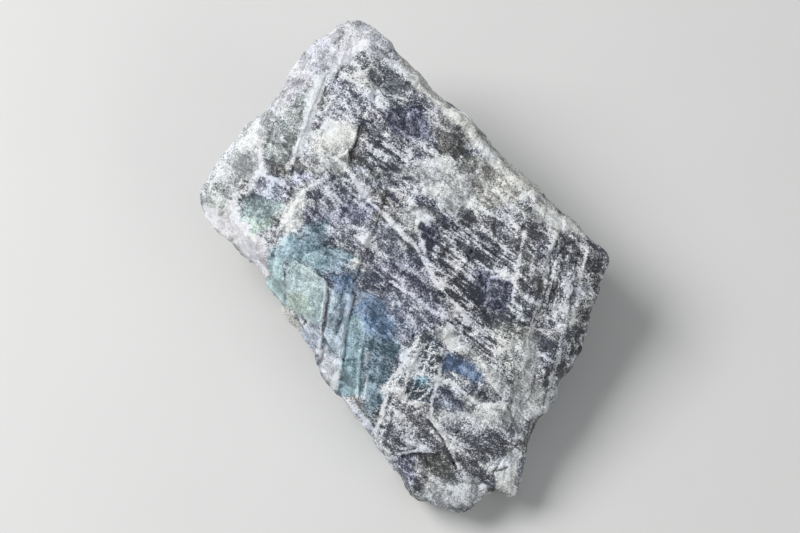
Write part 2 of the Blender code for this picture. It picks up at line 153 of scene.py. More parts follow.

# Faces of the crystal on the upper side: name, finish, softness of its edge, corners. Some are painted light
# and shade: band_shadow, plate_shadow and the end's outer rim are painted shadows, and the upper bevels and
# the apex are pale frost painted lighter as a painted highlight. Later ones lie over earlier ones.
ZONES = [
    ("upper_field", "indigo_grey", 0.95, [
        (-9.3, 23.0), (-6.5, 25.3), (-3.0, 25.0), (1.0, 22.5), (4.5, 20.0), (5.5, 16.0), (3.5, 12.5),
        (-2.0, 12.5), (-5.0, 14.0), (-5.0, 18.0), (-10.3, 18.0)]),
    # Pale frost on the apex, painted lighter as a painted highlight where the key light falls.
    ("apex_highlight", "lilac_white", 1.05, [
        (-8.0, 27.0), (-6.2, 31.0), (-4.5, 31.0), (-1.0, 26.8), (1.2, 24.0), (-3.0, 24.3), (-6.5, 25.3)]),
    ("apex_crumbs", "grey_crumbs", 0.7, [
        (-8.4, 24.0), (-7.4, 25.8), (-6.0, 26.4), (-4.4, 27.4), (-2.0, 26.4), (0.4, 24.6), (2.2, 22.4),
        (-1.0, 22.4), (-5.0, 22.8)]),
    ("crumb_field", "grey_crumbs", 0.9, [
        (-4.0, 25.4), (-1.0, 25.6), (1.2, 23.2), (1.4, 20.6), (-0.6, 19.8), (-2.6, 20.6), (-4.2, 22.4)]),
    ("upper_dark", "navy", 0.9, [
        (-1.4, 19.6), (1.6, 20.2), (4.6, 18.6), (5.0, 15.6), (1.0, 16.0), (-1.2, 17.4)]),
    # The upper and outer bevels: pale frost, painted lighter as the side that faces the key light, a painted
    # highlight.
    ("upper_bevel_highlight", "lilac_white", 0.65, [
        (-5.0, 31.5), (-9.0, 29.5), (-13.0, 27.0), (-15.8, 22.5), (-17.3, 20.0), (-15.5, 19.2),
        (-13.0, 21.0), (-10.7, 23.5), (-8.0, 26.0), (-6.0, 28.5)]),
    ("outer_bevel_highlight", "white", 0.65, [
        (-17.3, 20.2), (-20.0, 18.0), (-21.0, 15.0), (-23.4, 11.8), (-25.2, 8.0), (-23.5, 6.0),
        (-21.5, 8.0), (-20.0, 10.3), (-18.3, 12.0), (-17.0, 15.0), (-15.5, 19.2)]),
    ("grey_facet", "grey_green", 0.55, [
        (-15.4, 19.0), (-13.0, 20.8), (-11.0, 22.0), (-11.9, 18.2), (-13.2, 14.5), (-14.5, 12.6),
        (-17.0, 13.6), (-16.5, 16.0)]),
    ("ridge_band", "white", 0.2, [
        (-10.3, 24.2), (-9.2, 23.6), (-10.5, 19.2), (-12.1, 14.8), (-13.3, 11.8), (-14.2, 12.0),
        (-13.0, 15.6), (-11.7, 19.6)]),
    ("band_shadow", "shadow_ink", 0.4, [(-9.6, 22.2), (-8.5, 21.8), (-9.2, 19.0), (-10.2, 17.4), (-11.0, 17.6)]),
    ("pale_plate", "pale_grey", 0.35, [
        (-11.3, 16.8), (-8.5, 18.4), (-5.2, 18.0), (-5.8, 15.6), (-6.6, 13.3), (-9.0, 13.9),
        (-12.0, 14.2)]),
    ("plate_shadow", "brown", 0.45, [(-5.0, 18.0), (-3.8, 16.6), (-3.6, 15.0), (-5.7, 14.8)]),
    ("slanted_grey", "streaked", 0.85, [
        (-4.0, 16.6), (-1.0, 15.6), (1.0, 13.0), (0.0, 11.5), (-5.2, 13.2)]),
    ("crumbs", "brown", 0.65, [
        (-16.2, 13.0), (-12.8, 13.6), (-9.0, 13.6), (-5.5, 12.4), (-7.5, 11.2), (-12.0, 11.3),
        (-16.2, 10.4)]),
    ("plate_foot", "white", 0.55, [
        (-10.4, 14.0), (-7.2, 13.8), (-6.0, 12.2), (-7.6, 11.6), (-10.0, 12.2)]),
    ("bevel_foot", "white", 0.5, [
        (-20.6, 13.6), (-17.2, 14.2), (-16.4, 11.8), (-19.2, 10.6), (-21.0, 11.4)]),
    ("violet_notch", "indigo", 0.45, [(-13.8, 12.2), (-10.6, 12.0), (-10.6, 10.6), (-13.6, 10.0)]),
    ("lilac_band", "lilac_grey", 0.75, [
        (-12.0, 10.3), (-6.0, 10.6), (-4.2, 8.6), (-7.0, 7.8), (-11.5, 8.2)]),
    ("indigo_band", "indigo", 0.65, [
        (-11.8, 8.1), (-8.0, 7.9), (-3.2, 7.6), (-3.0, 6.0), (-5.0, 5.0), (-9.0, 5.0), (-11.6, 5.6)]),
    ("grain_field", "lilac_grey", 0.85, [
        (-9.6, 5.2), (-5.0, 5.2), (-2.0, 5.0), (1.0, 3.0), (2.0, 0.8), (-1.0, 0.8), (-4.5, 1.6),
        (-8.3, 2.8)]),
    ("violet_hollow", "indigo", 0.95, [
        (-3.5, 1.8), (1.5, 1.0), (4.6, -2.3), (6.4, -6.0), (4.0, -7.0), (0.0, -4.6), (-2.8, -2.0),
        (-4.8, 0.4)]),
    ("dark_patch", "dark_teal_sheen", 0.65, [(-12.2, 5.4), (-9.3, 5.6), (-8.6, 3.4), (-11.4, 3.4)]),
    ("corner", "grey_green", 0.55, [
        (-24.8, 8.6), (-22.4, 11.0), (-20.8, 10.2), (-20.6, 7.6), (-21.5, 6.2), (-24.0, 6.4)]),
    ("corner_band", "lilac_white", 0.3, [
        (-21.7, 10.4), (-20.8, 10.2), (-20.5, 6.8), (-19.3, 4.6), (-20.3, 4.4), (-21.6, 6.8)]),
    ("left_strip", "rose_white", 0.3, [
        (-24.5, 7.4), (-21.8, 7.0), (-20.0, 5.2), (-18.2, 3.8), (-15.9, 2.6), (-16.4, -1.4),
        (-17.2, -1.4), (-20.4, 2.4), (-23.8, 5.2)]),
    ("lilac_above", "blue_grey", 0.75, [
        (-19.2, 9.6), (-17.2, 11.2), (-14.4, 10.4), (-14.6, 8.4), (-17.4, 8.2)]),
    ("teal_left", "sea_sheen", 0.8, [
        (-20.4, 7.4), (-19.0, 8.5), (-17.0, 8.9), (-15.3, 8.2), (-15.2, 6.8), (-16.2, 5.4), (-18.0, 5.2),
        (-19.8, 5.8)]),
    ("green_left", "moss_sheen", 0.55, [
        (-20.0, 6.2), (-17.8, 5.6), (-15.8, 6.2), (-16.0, 4.8), (-17.4, 4.0), (-18.8, 4.2)]),
    ("white_patch", "white", 0.55, [
        (-14.4, 7.6), (-12.4, 9.4), (-11.5, 8.4), (-12.0, 5.4), (-13.6, 4.4), (-14.8, 4.8)]),
    ("teal_field", "teal_sheen", 0.9, [
        (-15.0, 4.0), (-12.5, 4.2), (-10.0, 3.0), (-7.6, 2.3), (-5.8, 0.9), (-7.0, -0.1), (-9.6, -0.9),
        (-12.0, 0.3), (-13.8, 0.6), (-14.6, -0.2), (-16.2, -0.6), (-15.8, 2.4)]),
    ("teal_shade", "dark_teal_sheen", 0.9, [
        (-11.2, 3.6), (-8.0, 2.4), (-5.8, 0.9), (-7.0, -0.1), (-9.4, -0.2), (-11.0, 1.6)]),
    ("lower_left_rim", "cream", 0.4, [
        (-16.9, -1.6), (-14.8, -4.7), (-13.2, -6.5), (-12.2, -8.6), (-10.6, -11.4), (-12.6, -12.0),
        (-14.8, -8.8), (-18.0, -4.0)]),
    ("left_plate", "pale_teal_sheen", 0.18, [
        (-16.3, 1.0), (-14.5, 1.0), (-14.4, -1.5), (-14.8, -4.9), (-16.7, -2.4)]),
    ("green_plate", "pale_green_sheen", 0.18, [
        (-13.8, 0.5), (-12.0, 0.3), (-9.3, -2.0), (-9.3, -3.4), (-10.0, -7.6), (-12.0, -7.0),
        (-13.2, -5.6), (-14.8, -4.8), (-14.4, -2.5)]),
    ("moss_patch", "moss_sheen", 0.55, [
        (-14.6, -4.0), (-12.6, -3.0), (-10.8, -4.2), (-11.2, -6.4), (-13.4, -6.0)]),
    ("lilac_tip", "lilac_blue_sheen", 0.45, [(-12.6, -7.6), (-10.0, -7.2), (-10.2, -10.8), (-12.2, -9.2)]),
    ("narrow_strip", "strip_sheen", 0.14, [
        (-9.1, -3.0), (-8.0, -2.6), (-6.0, -1.4), (-5.8, -2.8), (-6.5, -5.0), (-7.6, -10.6),
        (-8.0, -16.4), (-10.4, -12.4), (-10.1, -10.2), (-9.5, -6.8)]),
    ("strip_foot", "lilac_white", 0.55, [
        (-10.3, -10.0), (-9.4, -10.4), (-8.2, -12.0), (-8.0, -16.2), (-10.2, -13.2)]),
    ("blue_corner", "blue_sheen", 0.95, [(-8.8, -1.2), (-7.0, -0.5), (-5.4, -1.2), (-5.8, -3.2), (-7.4, -3.6)]),
    ("blue_field", "blue_sheen", 0.75, [
        (-6.0, -3.8), (-4.2, -3.3), (-2.2, -4.2), (-0.2, -7.0), (0.4, -9.8), (-2.8, -9.8), (-4.8, -8.2),
        (-6.2, -6.4)]),
    ("blue_fade", "blue_grey", 0.95, [
        (-3.0, -3.0), (0.0, -4.0), (3.4, -7.0), (3.0, -9.8), (0.4, -9.8), (-0.8, -6.8)]),
    ("teal_strip", "teal_sheen", 0.12, [
        (-6.7, -6.4), (-5.2, -5.8), (-4.3, -8.0), (-4.8, -16.2), (-7.9, -16.2), (-7.2, -10.2)]),
    ("dark_field", "dark_teal_sheen", 0.65, [
        (-4.4, -8.2), (0.2, -9.8), (-0.6, -13.2), (-1.8, -16.4), (-3.6, -19.0), (-4.7, -16.4)]),
    ("ridge_frost", "crumbled", 0.6, [
        (-0.8, -11.6), (1.2, -9.6), (2.6, -8.6), (5.0, -8.0), (5.4, -10.0), (3.0, -10.4), (1.4, -13.4),
        (0.6, -15.6), (-1.5, -16.4), (-2.0, -22.4), (-3.4, -21.6), (-2.4, -17.6), (-1.9, -15.2)]),
    ("ridge_cells", "cells", 0.5, [
        (0.9, -15.2), (1.6, -13.0), (2.4, -11.2), (3.2, -10.2), (4.6, -9.8), (5.5, -10.4), (5.0, -12.4),
        (4.6, -13.8), (4.0, -15.0), (3.6, -17.0), (2.6, -17.0), (0.6, -16.4)]),
    ("apex_frost", "white", 0.6, [
        (4.4, -8.4), (6.0, -7.2), (7.8, -8.4), (9.0, -10.4), (8.2, -11.0), (6.4, -10.6), (5.4, -9.6)]),
    ("ridge_facet", "grey", 0.5, [
        (-1.7, -16.5), (-0.4, -16.1), (1.2, -17.5), (1.0, -19.4), (-0.4, -20.2), (-1.8, -19.6)]),
    ("olive_cell", "moss_dark", 0.5, [
        (1.6, -17.8), (2.6, -17.3), (3.6, -17.8), (3.4, -19.0), (1.8, -19.0)]),
    ("violet_panel", "indigo_grey", 0.75, [
        (2.8, 8.2), (5.2, 7.6), (8.0, 4.2), (7.2, 0.9), (4.2, 0.8), (3.0, 2.8), (2.2, 5.6)]),
    ("brown_patch", "brown", 0.5, [
        (4.0, 19.2), (5.8, 18.8), (8.1, 16.6), (7.9, 14.2), (6.4, 13.0), (4.8, 14.0), (3.8, 17.2)]),
    ("panel_dark", "navy", 0.7, [
        (2.8, 4.6), (4.6, 5.0), (5.4, 2.6), (5.2, 0.4), (4.0, -0.8), (3.2, 1.2)]),
    ("fork_white", "white", 0.6, [
        (0.6, 7.2), (2.4, 7.6), (4.6, 6.6), (4.4, 5.6), (2.4, 5.4), (1.4, 4.6), (0.4, 5.6)]),
    ("white_cluster", "white", 0.75, [
        (2.4, 12.6), (5.0, 13.8), (7.0, 12.6), (9.0, 10.6), (8.4, 7.6), (6.2, 6.6), (4.8, 8.4),
        (2.2, 9.6)]),
    ("beige_face", "beige", 0.75, [
        (8.2, 13.6), (11.2, 14.4), (14.0, 11.6), (15.2, 8.8), (12.6, 7.2), (10.0, 7.0), (8.8, 9.6)]),
    ("beige_rim", "cream", 0.35, [
        (-1.4, 28.2), (1.8, 24.4), (6.2, 19.8), (8.2, 18.8), (10.6, 15.6), (18.0, 9.2), (17.2, 8.4),
        (13.0, 11.4), (9.4, 15.0), (7.8, 17.4), (5.6, 18.8), (0.8, 23.4)]),
    ("green_spot", "grey_green", 0.55, [(14.6, 7.8), (16.2, 7.2), (16.6, 6.0), (15.2, 6.0)]),
    ("short_white", "white", 0.6, [(14.6, 6.0), (16.8, 6.6), (17.4, 4.4), (15.6, 3.2), (14.2, 4.2)]),
    ("cream_block", "bright", 0.45, [
        (16.8, 7.6), (18.4, 8.4), (20.2, 6.8), (21.6, 5.9), (23.0, 3.8), (21.0, 4.1), (19.4, 4.3),
        (17.8, 5.4)]),
    ("grey_upper_right", "grey", 0.95, [
        (9.4, 7.6), (16.0, 7.2), (18.2, 4.0), (15.2, 0.6), (10.4, 3.4), (8.0, 5.4)]),
    ("streak_field", "streaked", 0.85, [
        (5.2, 5.0), (9.0, 5.4), (14.8, 2.6), (15.0, -4.0), (16.2, -9.4), (10.4, -10.0), (7.0, -7.4),
        (4.6, -3.2), (3.4, 0.6)]),
    ("streak_dark", "navy", 0.7, [
        (8.8, -0.4), (11.0, -0.8), (12.6, -3.0), (13.6, -5.4), (11.4, -6.0), (9.4, -4.0)]),
    ("navy_panel", "navy", 0.25, [
        (10.8, -1.6), (12.0, -1.5), (14.1, -1.5), (14.0, -4.0), (13.2, -5.6), (11.6, -4.2)]),
    ("pale_column", "bright_crumbs", 0.65, [
        (12.4, -7.4), (16.2, -7.4), (16.2, -12.4), (14.0, -13.4), (12.2, -10.6)]),
    ("end_face", "layered", 0.55, [
        (19.2, 3.4), (25.4, 1.8), (25.2, -2.6), (23.8, -8.0), (21.6, -12.2), (19.8, -14.0), (17.8, -18.0),
        (16.2, -15.0), (16.6, -9.0), (17.8, -4.0), (18.8, 0.0)]),
    ("end_speckle", "layered", 0.45, [(19.8, 4.0), (22.4, 3.2), (21.4, -2.6), (18.6, -3.8), (18.8, 1.4)]),
    ("end_pale", "grey_crumbs", 0.65, [
        (19.4, -4.4), (22.4, -4.2), (22.6, -8.0), (20.6, -11.4), (19.2, -9.4)]),
    ("end_violet", "indigo_grey", 0.55, [
        (17.6, -6.4), (19.2, -6.2), (19.8, -9.6), (18.8, -12.6), (17.0, -12.8)]),
    ("right_foot", "white", 0.6, [
        (15.6, -7.8), (16.8, -8.0), (17.3, -12.8), (18.2, -16.2), (17.0, -19.4), (15.6, -18.6),
        (13.8, -16.4), (14.4, -14.0), (15.6, -12.6)]),
    # Painted shade: the end's outer rim, which faces away from the key light, painted dark.
    ("end_rim_shade", "shadow_ink", 0.5, [
        (22.8, 2.6), (25.6, 1.4), (25.0, -2.4), (23.8, -8.0), (22.4, -11.0), (21.6, -11.2), (22.6, -7.0),
        (22.9, -2.0)]),
    ("grey_low", "grey", 0.95, [
        (-1.8, -17.0), (4.2, -16.6), (9.0, -18.6), (15.0, -19.0), (15.2, -22.4), (14.0, -26.4),
        (8.8, -27.6), (2.0, -28.0), (-0.2, -26.2), (-2.6, -23.2)]),
    ("dark_diagonal", "streaked", 0.5, [
        (7.9, -8.5), (10.2, -9.6), (12.6, -12.2), (13.6, -13.6), (12.0, -13.0), (9.8, -11.2),
        (8.2, -9.6)]),
    ("white_diagonal", "white", 0.4, [
        (8.2, -10.6), (9.6, -11.0), (11.2, -12.6), (12.6, -13.6), (13.8, -15.0), (13.2, -16.2),
        (11.4, -15.2), (10.2, -14.2), (9.2, -12.2)]),
    ("low_diagonal", "grey", 0.45, [
        (9.8, -14.8), (11.2, -15.2), (12.6, -16.1), (13.4, -17.4), (12.2, -16.9), (10.6, -16.0)]),
    ("white_slope", "white", 0.65, [
        (8.4, -15.8), (11.2, -17.4), (14.2, -17.2), (15.8, -15.4), (16.6, -18.6), (14.8, -20.0),
        (10.6, -18.8), (8.2, -17.2)]),
    ("low_band", "white", 0.6, [
        (5.0, -17.8), (8.4, -18.2), (12.8, -17.9), (13.0, -19.2), (8.4, -19.5), (4.8, -18.9)]),
    ("under_spot", "crumbled", 0.5, [
        (5.3, -13.2), (7.6, -13.6), (8.8, -14.8), (9.6, -15.8), (8.4, -16.2), (6.6, -15.2),
        (5.4, -14.8)]),
    ("blue_spot", "deep_blue_sheen", 0.5, [
        (5.7, -10.9), (7.0, -11.5), (8.8, -12.0), (10.0, -13.2), (9.9, -14.7), (8.8, -14.6), (7.8, -13.6),
        (6.4, -13.0), (5.2, -12.9)]),
    ("dark_pool", "pool", 0.45, [
        (4.5, -15.0), (5.9, -15.0), (7.4, -16.2), (8.2, -17.0), (8.6, -18.1), (6.6, -17.9), (4.2, -17.5),
        (4.0, -16.2)]),
    ("teal_spot", "deep_teal_sheen", 0.35, [(1.6, -14.1), (3.8, -14.1), (3.6, -15.2), (2.0, -15.2)]),
    ("indigo_facet", "indigo", 0.4, [
        (-1.8, -24.0), (0.2, -23.6), (2.2, -23.8), (2.4, -26.4), (0.8, -26.9), (-0.4, -26.0)]),
    ("brown_facet", "brown", 0.55, [
        (1.8, -23.4), (4.6, -23.4), (7.0, -24.2), (7.2, -26.0), (4.6, -27.0), (2.2, -26.4)]),
    ("foot_pale", "white", 0.75, [(3.2, -27.2), (8.0, -26.8), (10.8, -27.6), (8.2, -30.6), (3.6, -29.2)]),
    ("tip_pale", "cream", 0.35, [(11.8, -26.0), (14.9, -24.6), (14.3, -28.4), (12.0, -27.6)]),
    ("tip_white", "white", 0.45, [
        (12.0, -24.4), (13.8, -22.8), (15.2, -23.8), (14.6, -25.4), (12.6, -25.2)]),
]

# Thin white seams and frosted edges: name, width, strength, run.
VEINS = [
    ("long_vein_top", 0.28, 1.0, [(-8.1, 13.6), (-6.6, 12.0), (-4.9, 9.9), (-3.8, 8.1), (-2.2, 6.8)]),
    ("long_vein", 0.46, 1.0, [(-2.2, 6.8), (-0.8, 5.2), (1.4, 3.3)]),
    ("long_vein_low", 0.30, 1.0, [(1.4, 3.3), (3.1, 0.6), (4.5, -2.0), (6.5, -4.2), (8.8, -7.0)]),
    ("fork_vein", 0.30, 1.0, [(2.6, 7.0), (2.1, 4.7), (2.9, 2.6), (3.4, 0.7)]),
    ("bowl_vein", 0.30, 0.8, [(-1.4, -1.8), (1.8, -3.7), (3.8, -5.5), (5.8, -6.4)]),
    ("left_vein", 0.30, 0.8, [(-10.1, 10.8), (-12.0, 9.2), (-13.4, 6.9), (-14.1, 4.8), (-14.5, 3.3)]),
    ("left_vein_twin", 0.26, 0.7, [(-12.5, 8.8), (-13.7, 6.8), (-14.8, 5.0)]),
    ("bright_line", 0.32, 1.0, [
        (6.6, -9.0), (5.8, -10.9), (5.2, -12.0), (5.0, -13.2), (4.5, -15.1), (3.9, -17.2), (3.7, -19.0)]),
    ("bright_branch", 0.20, 0.9, [(5.0, -13.2), (4.5, -13.9), (3.9, -15.2), (3.2, -16.1), (2.5, -16.6)]),
    ("tip_vein", 0.40, 0.8, [(3.9, -18.9), (5.8, -21.8), (7.5, -25.2)]),
    ("plate_lip", 0.24, 0.9, [(-9.3, -2.2), (-9.3, -3.4), (-9.7, -6.0), (-10.1, -9.4), (-10.3, -10.8)]),
    ("plate_top", 0.22, 0.7, [(-12.8, 0.6), (-12.2, 0.0), (-10.7, -0.8), (-9.3, -2.0)]),
    ("rib_band", 0.75, 0.65, [(-6.2, -3.8), (-7.2, -9.2), (-8.2, -15.4)]),
    ("strip_line", 0.22, 0.8, [(-4.9, -10.4), (-5.4, -16.2)]),
    ("thin_strip_line", 0.22, 0.8, [(-3.9, -13.0), (-4.4, -16.2)]),
    ("short_thread", 0.26, 0.8, [(15.8, 5.0), (15.2, 2.6), (14.6, -1.6), (14.1, -4.0)]),
    ("end_ridge_line", 0.32, 0.9, [
        (19.4, 4.2), (18.5, 1.4), (18.2, -0.8), (17.8, -3.2), (16.9, -6.1), (16.3, -9.2), (15.3, -12.4)]),
    ("end_step_line", 0.28, 0.9, [(23.5, 2.4), (22.6, -1.6), (22.2, -5.0)]),
    ("recess_line", 0.30, 0.95, [(11.6, -1.4), (14.3, -1.3)]),
    ("crumb_arc", 0.34, 0.9, [(-17.9, 11.7), (-16.3, 11.1), (-14.8, 10.7), (-14.0, 9.9)]),
    ("bevel_edge", 0.50, 0.8, [(-17.1, 14.6), (-17.3, 12.1), (-18.8, 9.8), (-20.5, 8.8)]),
    ("corner_arc", 0.42, 0.8, [(-20.9, 9.0), (-20.9, 7.3), (-20.3, 5.6), (-19.0, 4.2), (-17.1, 3.1)]),
    ("teal_top_line", 0.24, 0.7, [(-14.0, 5.4), (-14.4, 2.7)]),
    ("ridge_strand", 0.34, 1.0, [
        (-1.8, -15.2), (-1.0, -13.9), (-0.2, -12.8), (0.1, -11.7), (0.8, -10.6), (1.8, -10.2),
        (2.4, -9.2)]),
    ("ridge_inner", 0.26, 0.9, [
        (0.5, -15.2), (0.8, -14.2), (1.2, -12.9), (1.8, -11.9), (2.0, -11.2), (2.6, -10.2), (3.4, -9.2)]),
    ("ridge_knot", 0.42, 1.0, [(-1.7, -15.2), (-0.6, -15.5), (0.4, -15.3)]),
    ("ridge_foot", 0.34, 0.9, [(-1.8, -15.2), (-1.9, -17.4), (-2.4, -19.4), (-3.2, -21.2)]),
    ("cell_up", 0.17, 0.8, [(2.2, -15.4), (2.8, -14.0), (3.0, -12.6), (3.8, -11.2), (3.9, -9.8)]),
    ("cell_side", 0.17, 0.8, [(1.4, -15.8), (1.9, -13.9), (2.1, -12.6), (2.9, -11.0)]),
    ("cell_cross", 0.15, 0.8, [(1.9, -12.4), (3.0, -12.0), (4.0, -12.6), (5.1, -12.5)]),
    ("cell_middle", 0.15, 0.7, [(1.6, -14.0), (3.4, -14.0), (4.5, -13.9)]),
    ("cell_low", 0.17, 0.8, [(-0.4, -16.2), (0.6, -16.6), (1.8, -15.6), (3.2, -15.4), (4.1, -15.2)]),
    ("cell_foot", 0.20, 0.9, [(0.8, -17.2), (2.4, -17.0), (3.8, -17.2)]),
    ("cell_top", 0.17, 0.8, [(2.4, -9.6), (3.2, -10.6), (4.6, -11.0), (5.6, -10.6)]),
    ("pool_rim", 0.45, 0.9, [(4.6, -14.0), (6.4, -14.4), (8.2, -16.0), (10.2, -17.6), (12.8, -17.0)]),
    ("white_apex", 0.60, 0.9, [(6.3, -7.4), (6.0, -8.9), (5.2, -11.0)]),
    ("facet_line", 0.22, 0.6, [(4.2, -23.3), (1.4, -23.3), (-1.7, -23.9)]),
    ("corner_line", 0.24, 0.7, [(-2.8, -24.0), (-2.0, -20.4)]),
    ("lilac_thread", 0.20, 0.5, [(-6.1, 1.0), (-3.5, -0.2), (-1.8, -1.7)]),
    ("rim_line", 0.40, 0.8, [(20.2, -9.0), (19.9, -11.8), (18.6, -16.0), (18.1, -18.2)]),
    ("ridge_band_line", 0.85, 1.0, [(-10.2, 23.2), (-10.4, 21.6), (-11.2, 18.7), (-12.6, 15.6)]),
    ("ridge_band_foot", 0.50, 0.9, [(-12.6, 15.6), (-13.3, 13.4), (-14.0, 12.2)]),
    ("upper_line", 0.60, 0.9, [(-4.2, 28.1), (-6.0, 26.7), (-7.5, 25.8), (-8.6, 24.2), (-10.1, 23.4)]),
    ("crumb_branch", 0.40, 0.8, [(-2.4, 24.0), (-3.6, 25.2), (-4.4, 24.0), (-5.8, 23.9)]),
    ("crumb_side", 0.45, 0.8, [(-1.8, 25.8), (0.2, 24.6), (0.8, 23.2), (2.4, 22.6)]),
]

# Painted shadows beside the steps, dark lines over a shallow carved groove: name, width, strength, run.
GAP_SHADOWS = [
    ("plate_gap", 0.28, 0.8, [(-9.0, -3.0), (-9.3, -6.0), (-9.9, -10.6), (-10.1, -12.8)]),
    ("plate_inner_gap", 0.22, 0.5, [(-14.5, 0.8), (-14.3, -2.0), (-14.7, -4.8)]),
    ("rib_gap", 0.24, 0.6, [(-5.8, -4.0), (-6.6, -9.2), (-7.7, -16.2)]),
    ("strip_gap", 0.24, 0.6, [(-4.6, -10.0), (-5.1, -16.4)]),
    ("band_gap", 0.30, 0.5, [(-9.2, 22.2), (-10.9, 18.6), (-12.6, 14.2), (-13.4, 12.2)]),
    ("band_outer_gap", 0.25, 0.5, [(-15.4, 18.4), (-16.8, 14.8), (-17.2, 13.2)]),
    ("pale_plate_gap", 0.40, 0.6, [(-4.8, 17.8), (-5.5, 15.4), (-6.1, 13.4)]),
    ("vein_gap", 0.30, 0.4, [(-1.6, 5.2), (-0.6, 4.3), (1.2, 2.6), (2.8, 0.0)]),
    ("bright_line_gap", 0.24, 0.4, [(6.0, -8.6), (4.7, -13.2), (3.5, -16.8)]),
    ("tip_gap", 0.30, 0.7, [(3.6, -19.2), (5.4, -21.9), (7.0, -25.2)]),
    ("tip_block_gap", 0.26, 0.8, [(11.7, -27.6), (11.7, -25.6), (13.4, -25.2)]),
    ("end_ridge_gap", 0.30, 0.6, [(18.6, 2.0), (18.1, -1.2), (17.6, -3.8), (16.8, -7.2), (16.0, -10.4)]),
    ("end_step_gap", 0.30, 0.6, [(22.2, 2.4), (21.8, -2.4), (21.3, -6.0)]),
    ("foot_crack", 0.24, 0.7, [(13.4, -17.4), (14.0, -19.0), (14.9, -20.8)]),
    ("corner_gap", 0.25, 0.6, [(-2.4, -24.0), (-1.4, -20.8), (-0.8, -18.0)]),
    ("left_plate_gap", 0.22, 0.5, [(-15.4, 3.7), (-16.1, 1.2), (-16.6, -1.7)]),
    ("facet_gap", 0.24, 0.35, [(4.6, -23.5), (1.4, -23.6), (-1.4, -24.1)]),
    ("left_chip_gap", 0.22, 0.7, [(-12.0, -6.8), (-12.4, -7.8), (-13.4, -6.6)]),
]

CHANNELS = ("frost", "speckle", "streak", "stria")  # a Finish's shares, each painted as an attribute
RAGGED = 1.3  # how far a zone's edge strays, as a share of its softness
RAGGED_RATES = (0.5, 1.1, 2.3)  # waves per millimetre, as for every rate below
LINE_STRAY, LINE_RATES = 0.16, (0.6, 2.0)  # how far a line strays sideways, in millimetres
LINE_SWELL, SWELL_RATE = 0.8, 0.9  # how far a line swells and thins along its run
LINE_CORE = 1.3  # above 1, a line stays full over its middle
LINE_FADE = 0.6  # distance over which a line dies out past its ends

# Finishes that come and go over the whole stone, under the zones: finish, waves per millimetre,
# level of the noise above which it shows, a shift that keeps the patches apart, and how far it
# shows on the upper face.
PATCHES = [
    ("lilac_grey", 0.10, -0.05, 3.0, 1.0),
    ("grey_green", 0.11, 0.12, 11.0, 0.3),
    ("white", 0.14, 0.16, 19.0, 0.7),
    ("indigo_grey", 0.16, 0.14, 27.0, 1.0),
    ("streaked", 0.09, 0.22, 35.0, 1.0),
    # Teal and blue patches on the sides only: painted sheen.
    ("teal_sheen", 0.12, 0.30, 43.0, 0.0),
    ("blue_sheen", 0.13, 0.32, 51.0, 0.0),
    ("beige", 0.12, 0.34, 59.0, 0.5),
    ("brown", 0.20, 0.30, 67.0, 1.0),
]
PATCH_EDGE = 0.05  # noise on either side of the level over which a patch fades out
PATCH_FRAY, FRAY_RATE = 0.25, 5.0  # smaller waves on the patches' edges, and how much faster they run

# Shifts that keep one use of the noise apart from the next.
ACROSS_SHIFT, SWELL_SHIFT, VEIN_SHIFT, GAP_SHADOW_SHIFT = 13.0, 4.0, 2.0, 9.0
WALL_SHIFT, HATCH_PATCH_SHIFT = 5.0, 7.0
TILT_SEED, STEP_SEED, NUMBER_SEED = 7.0, 5.0, 11.0

# Relief: sizes and heights in millimetres.
# Cleavage sheets: direction in degrees, length, width and depth of their waves, step from one sheet
# to the next, and a shift of the noise.
SHEETS = [
    (79.0, (9.0, 3.4, 6.0), 0.16, 0.0),
    (-36.0, (7.0, 3.0, 5.0), 0.14, 17.0),
]
WALL_SHEET_SIZE, WALL_STEP = (9.0, 9.0, 2.4), 0.22
SHEET_COUNT = 2.5  # sheets for each unit of noise
RISER = (0.44, 0.56)  # where a riser starts and ends between two sheets
# Facets: direction in degrees, length, width and depth, tilt, a shift of the noise, and the share
# that shows on clean crystal too.
FACETS = [
    (66.0, (6.5, 3.8, 4.5), 0.14, 0.0, 1.0),
    (-40.0, (2.6, 1.5, 1.8), 0.26, 20.0, 0.5),
    (70.0, (1.2, 0.8, 0.8), 0.26, 40.0, 0.25),
    (-30.0, (0.75, 0.55, 0.55), 0.22, 60.0, 0.2),
]
FACET_STEP = 0.35  # how far neighbouring facets stand above each other, against their size
FACET_FADE, FADE_POWER = 1.0, 4  # how far a facet has sunk away where three others are nearer
TINY = 1e-6  # keeps a share from being divided by nothing
MIDDLE = Vector((0.5, 0.5, 0.5))
WALL_ROUGH = 0.6  # least roughness on the sides, where no zone is painted
# The same attribute goes negative in hollows, where it thins the frost as painted shade.
EDGE_HEIGHT = 0.05  # height over its surroundings at which an edge is fully frosted
EDGE_ROUNDS = 3  # rounds of averaging that make those surroundings
CREASE_DEG = 20.0  # edges sharper than this aren't shaded smooth

HATCHES = [(-37.0, 3.2, 0.55, 2.0), (64.0, 2.6, 0.5, 31.0)]  # direction, length, width and shift
HATCH_HEIGHT, HATCH_LINE = 0.05, 0.16  # height, and half width in units of noise
HATCH_WAVER, HATCH_WAVER_RATE = 0.35, 1.2
HATCH_PATCH_RATE, HATCH_PATCH = 0.28, (-0.15, 0.25)  # where the hatching comes and goes
# Height of the raised veins, and depth of the shallow groove under the painted gap shadows.
VEIN_HEIGHT, GAP_SHADOW_DEPTH = 0.04, 0.10

FOOT_BAND = (0.15, 1.2)  # heights over which the relief dies out towards the underside
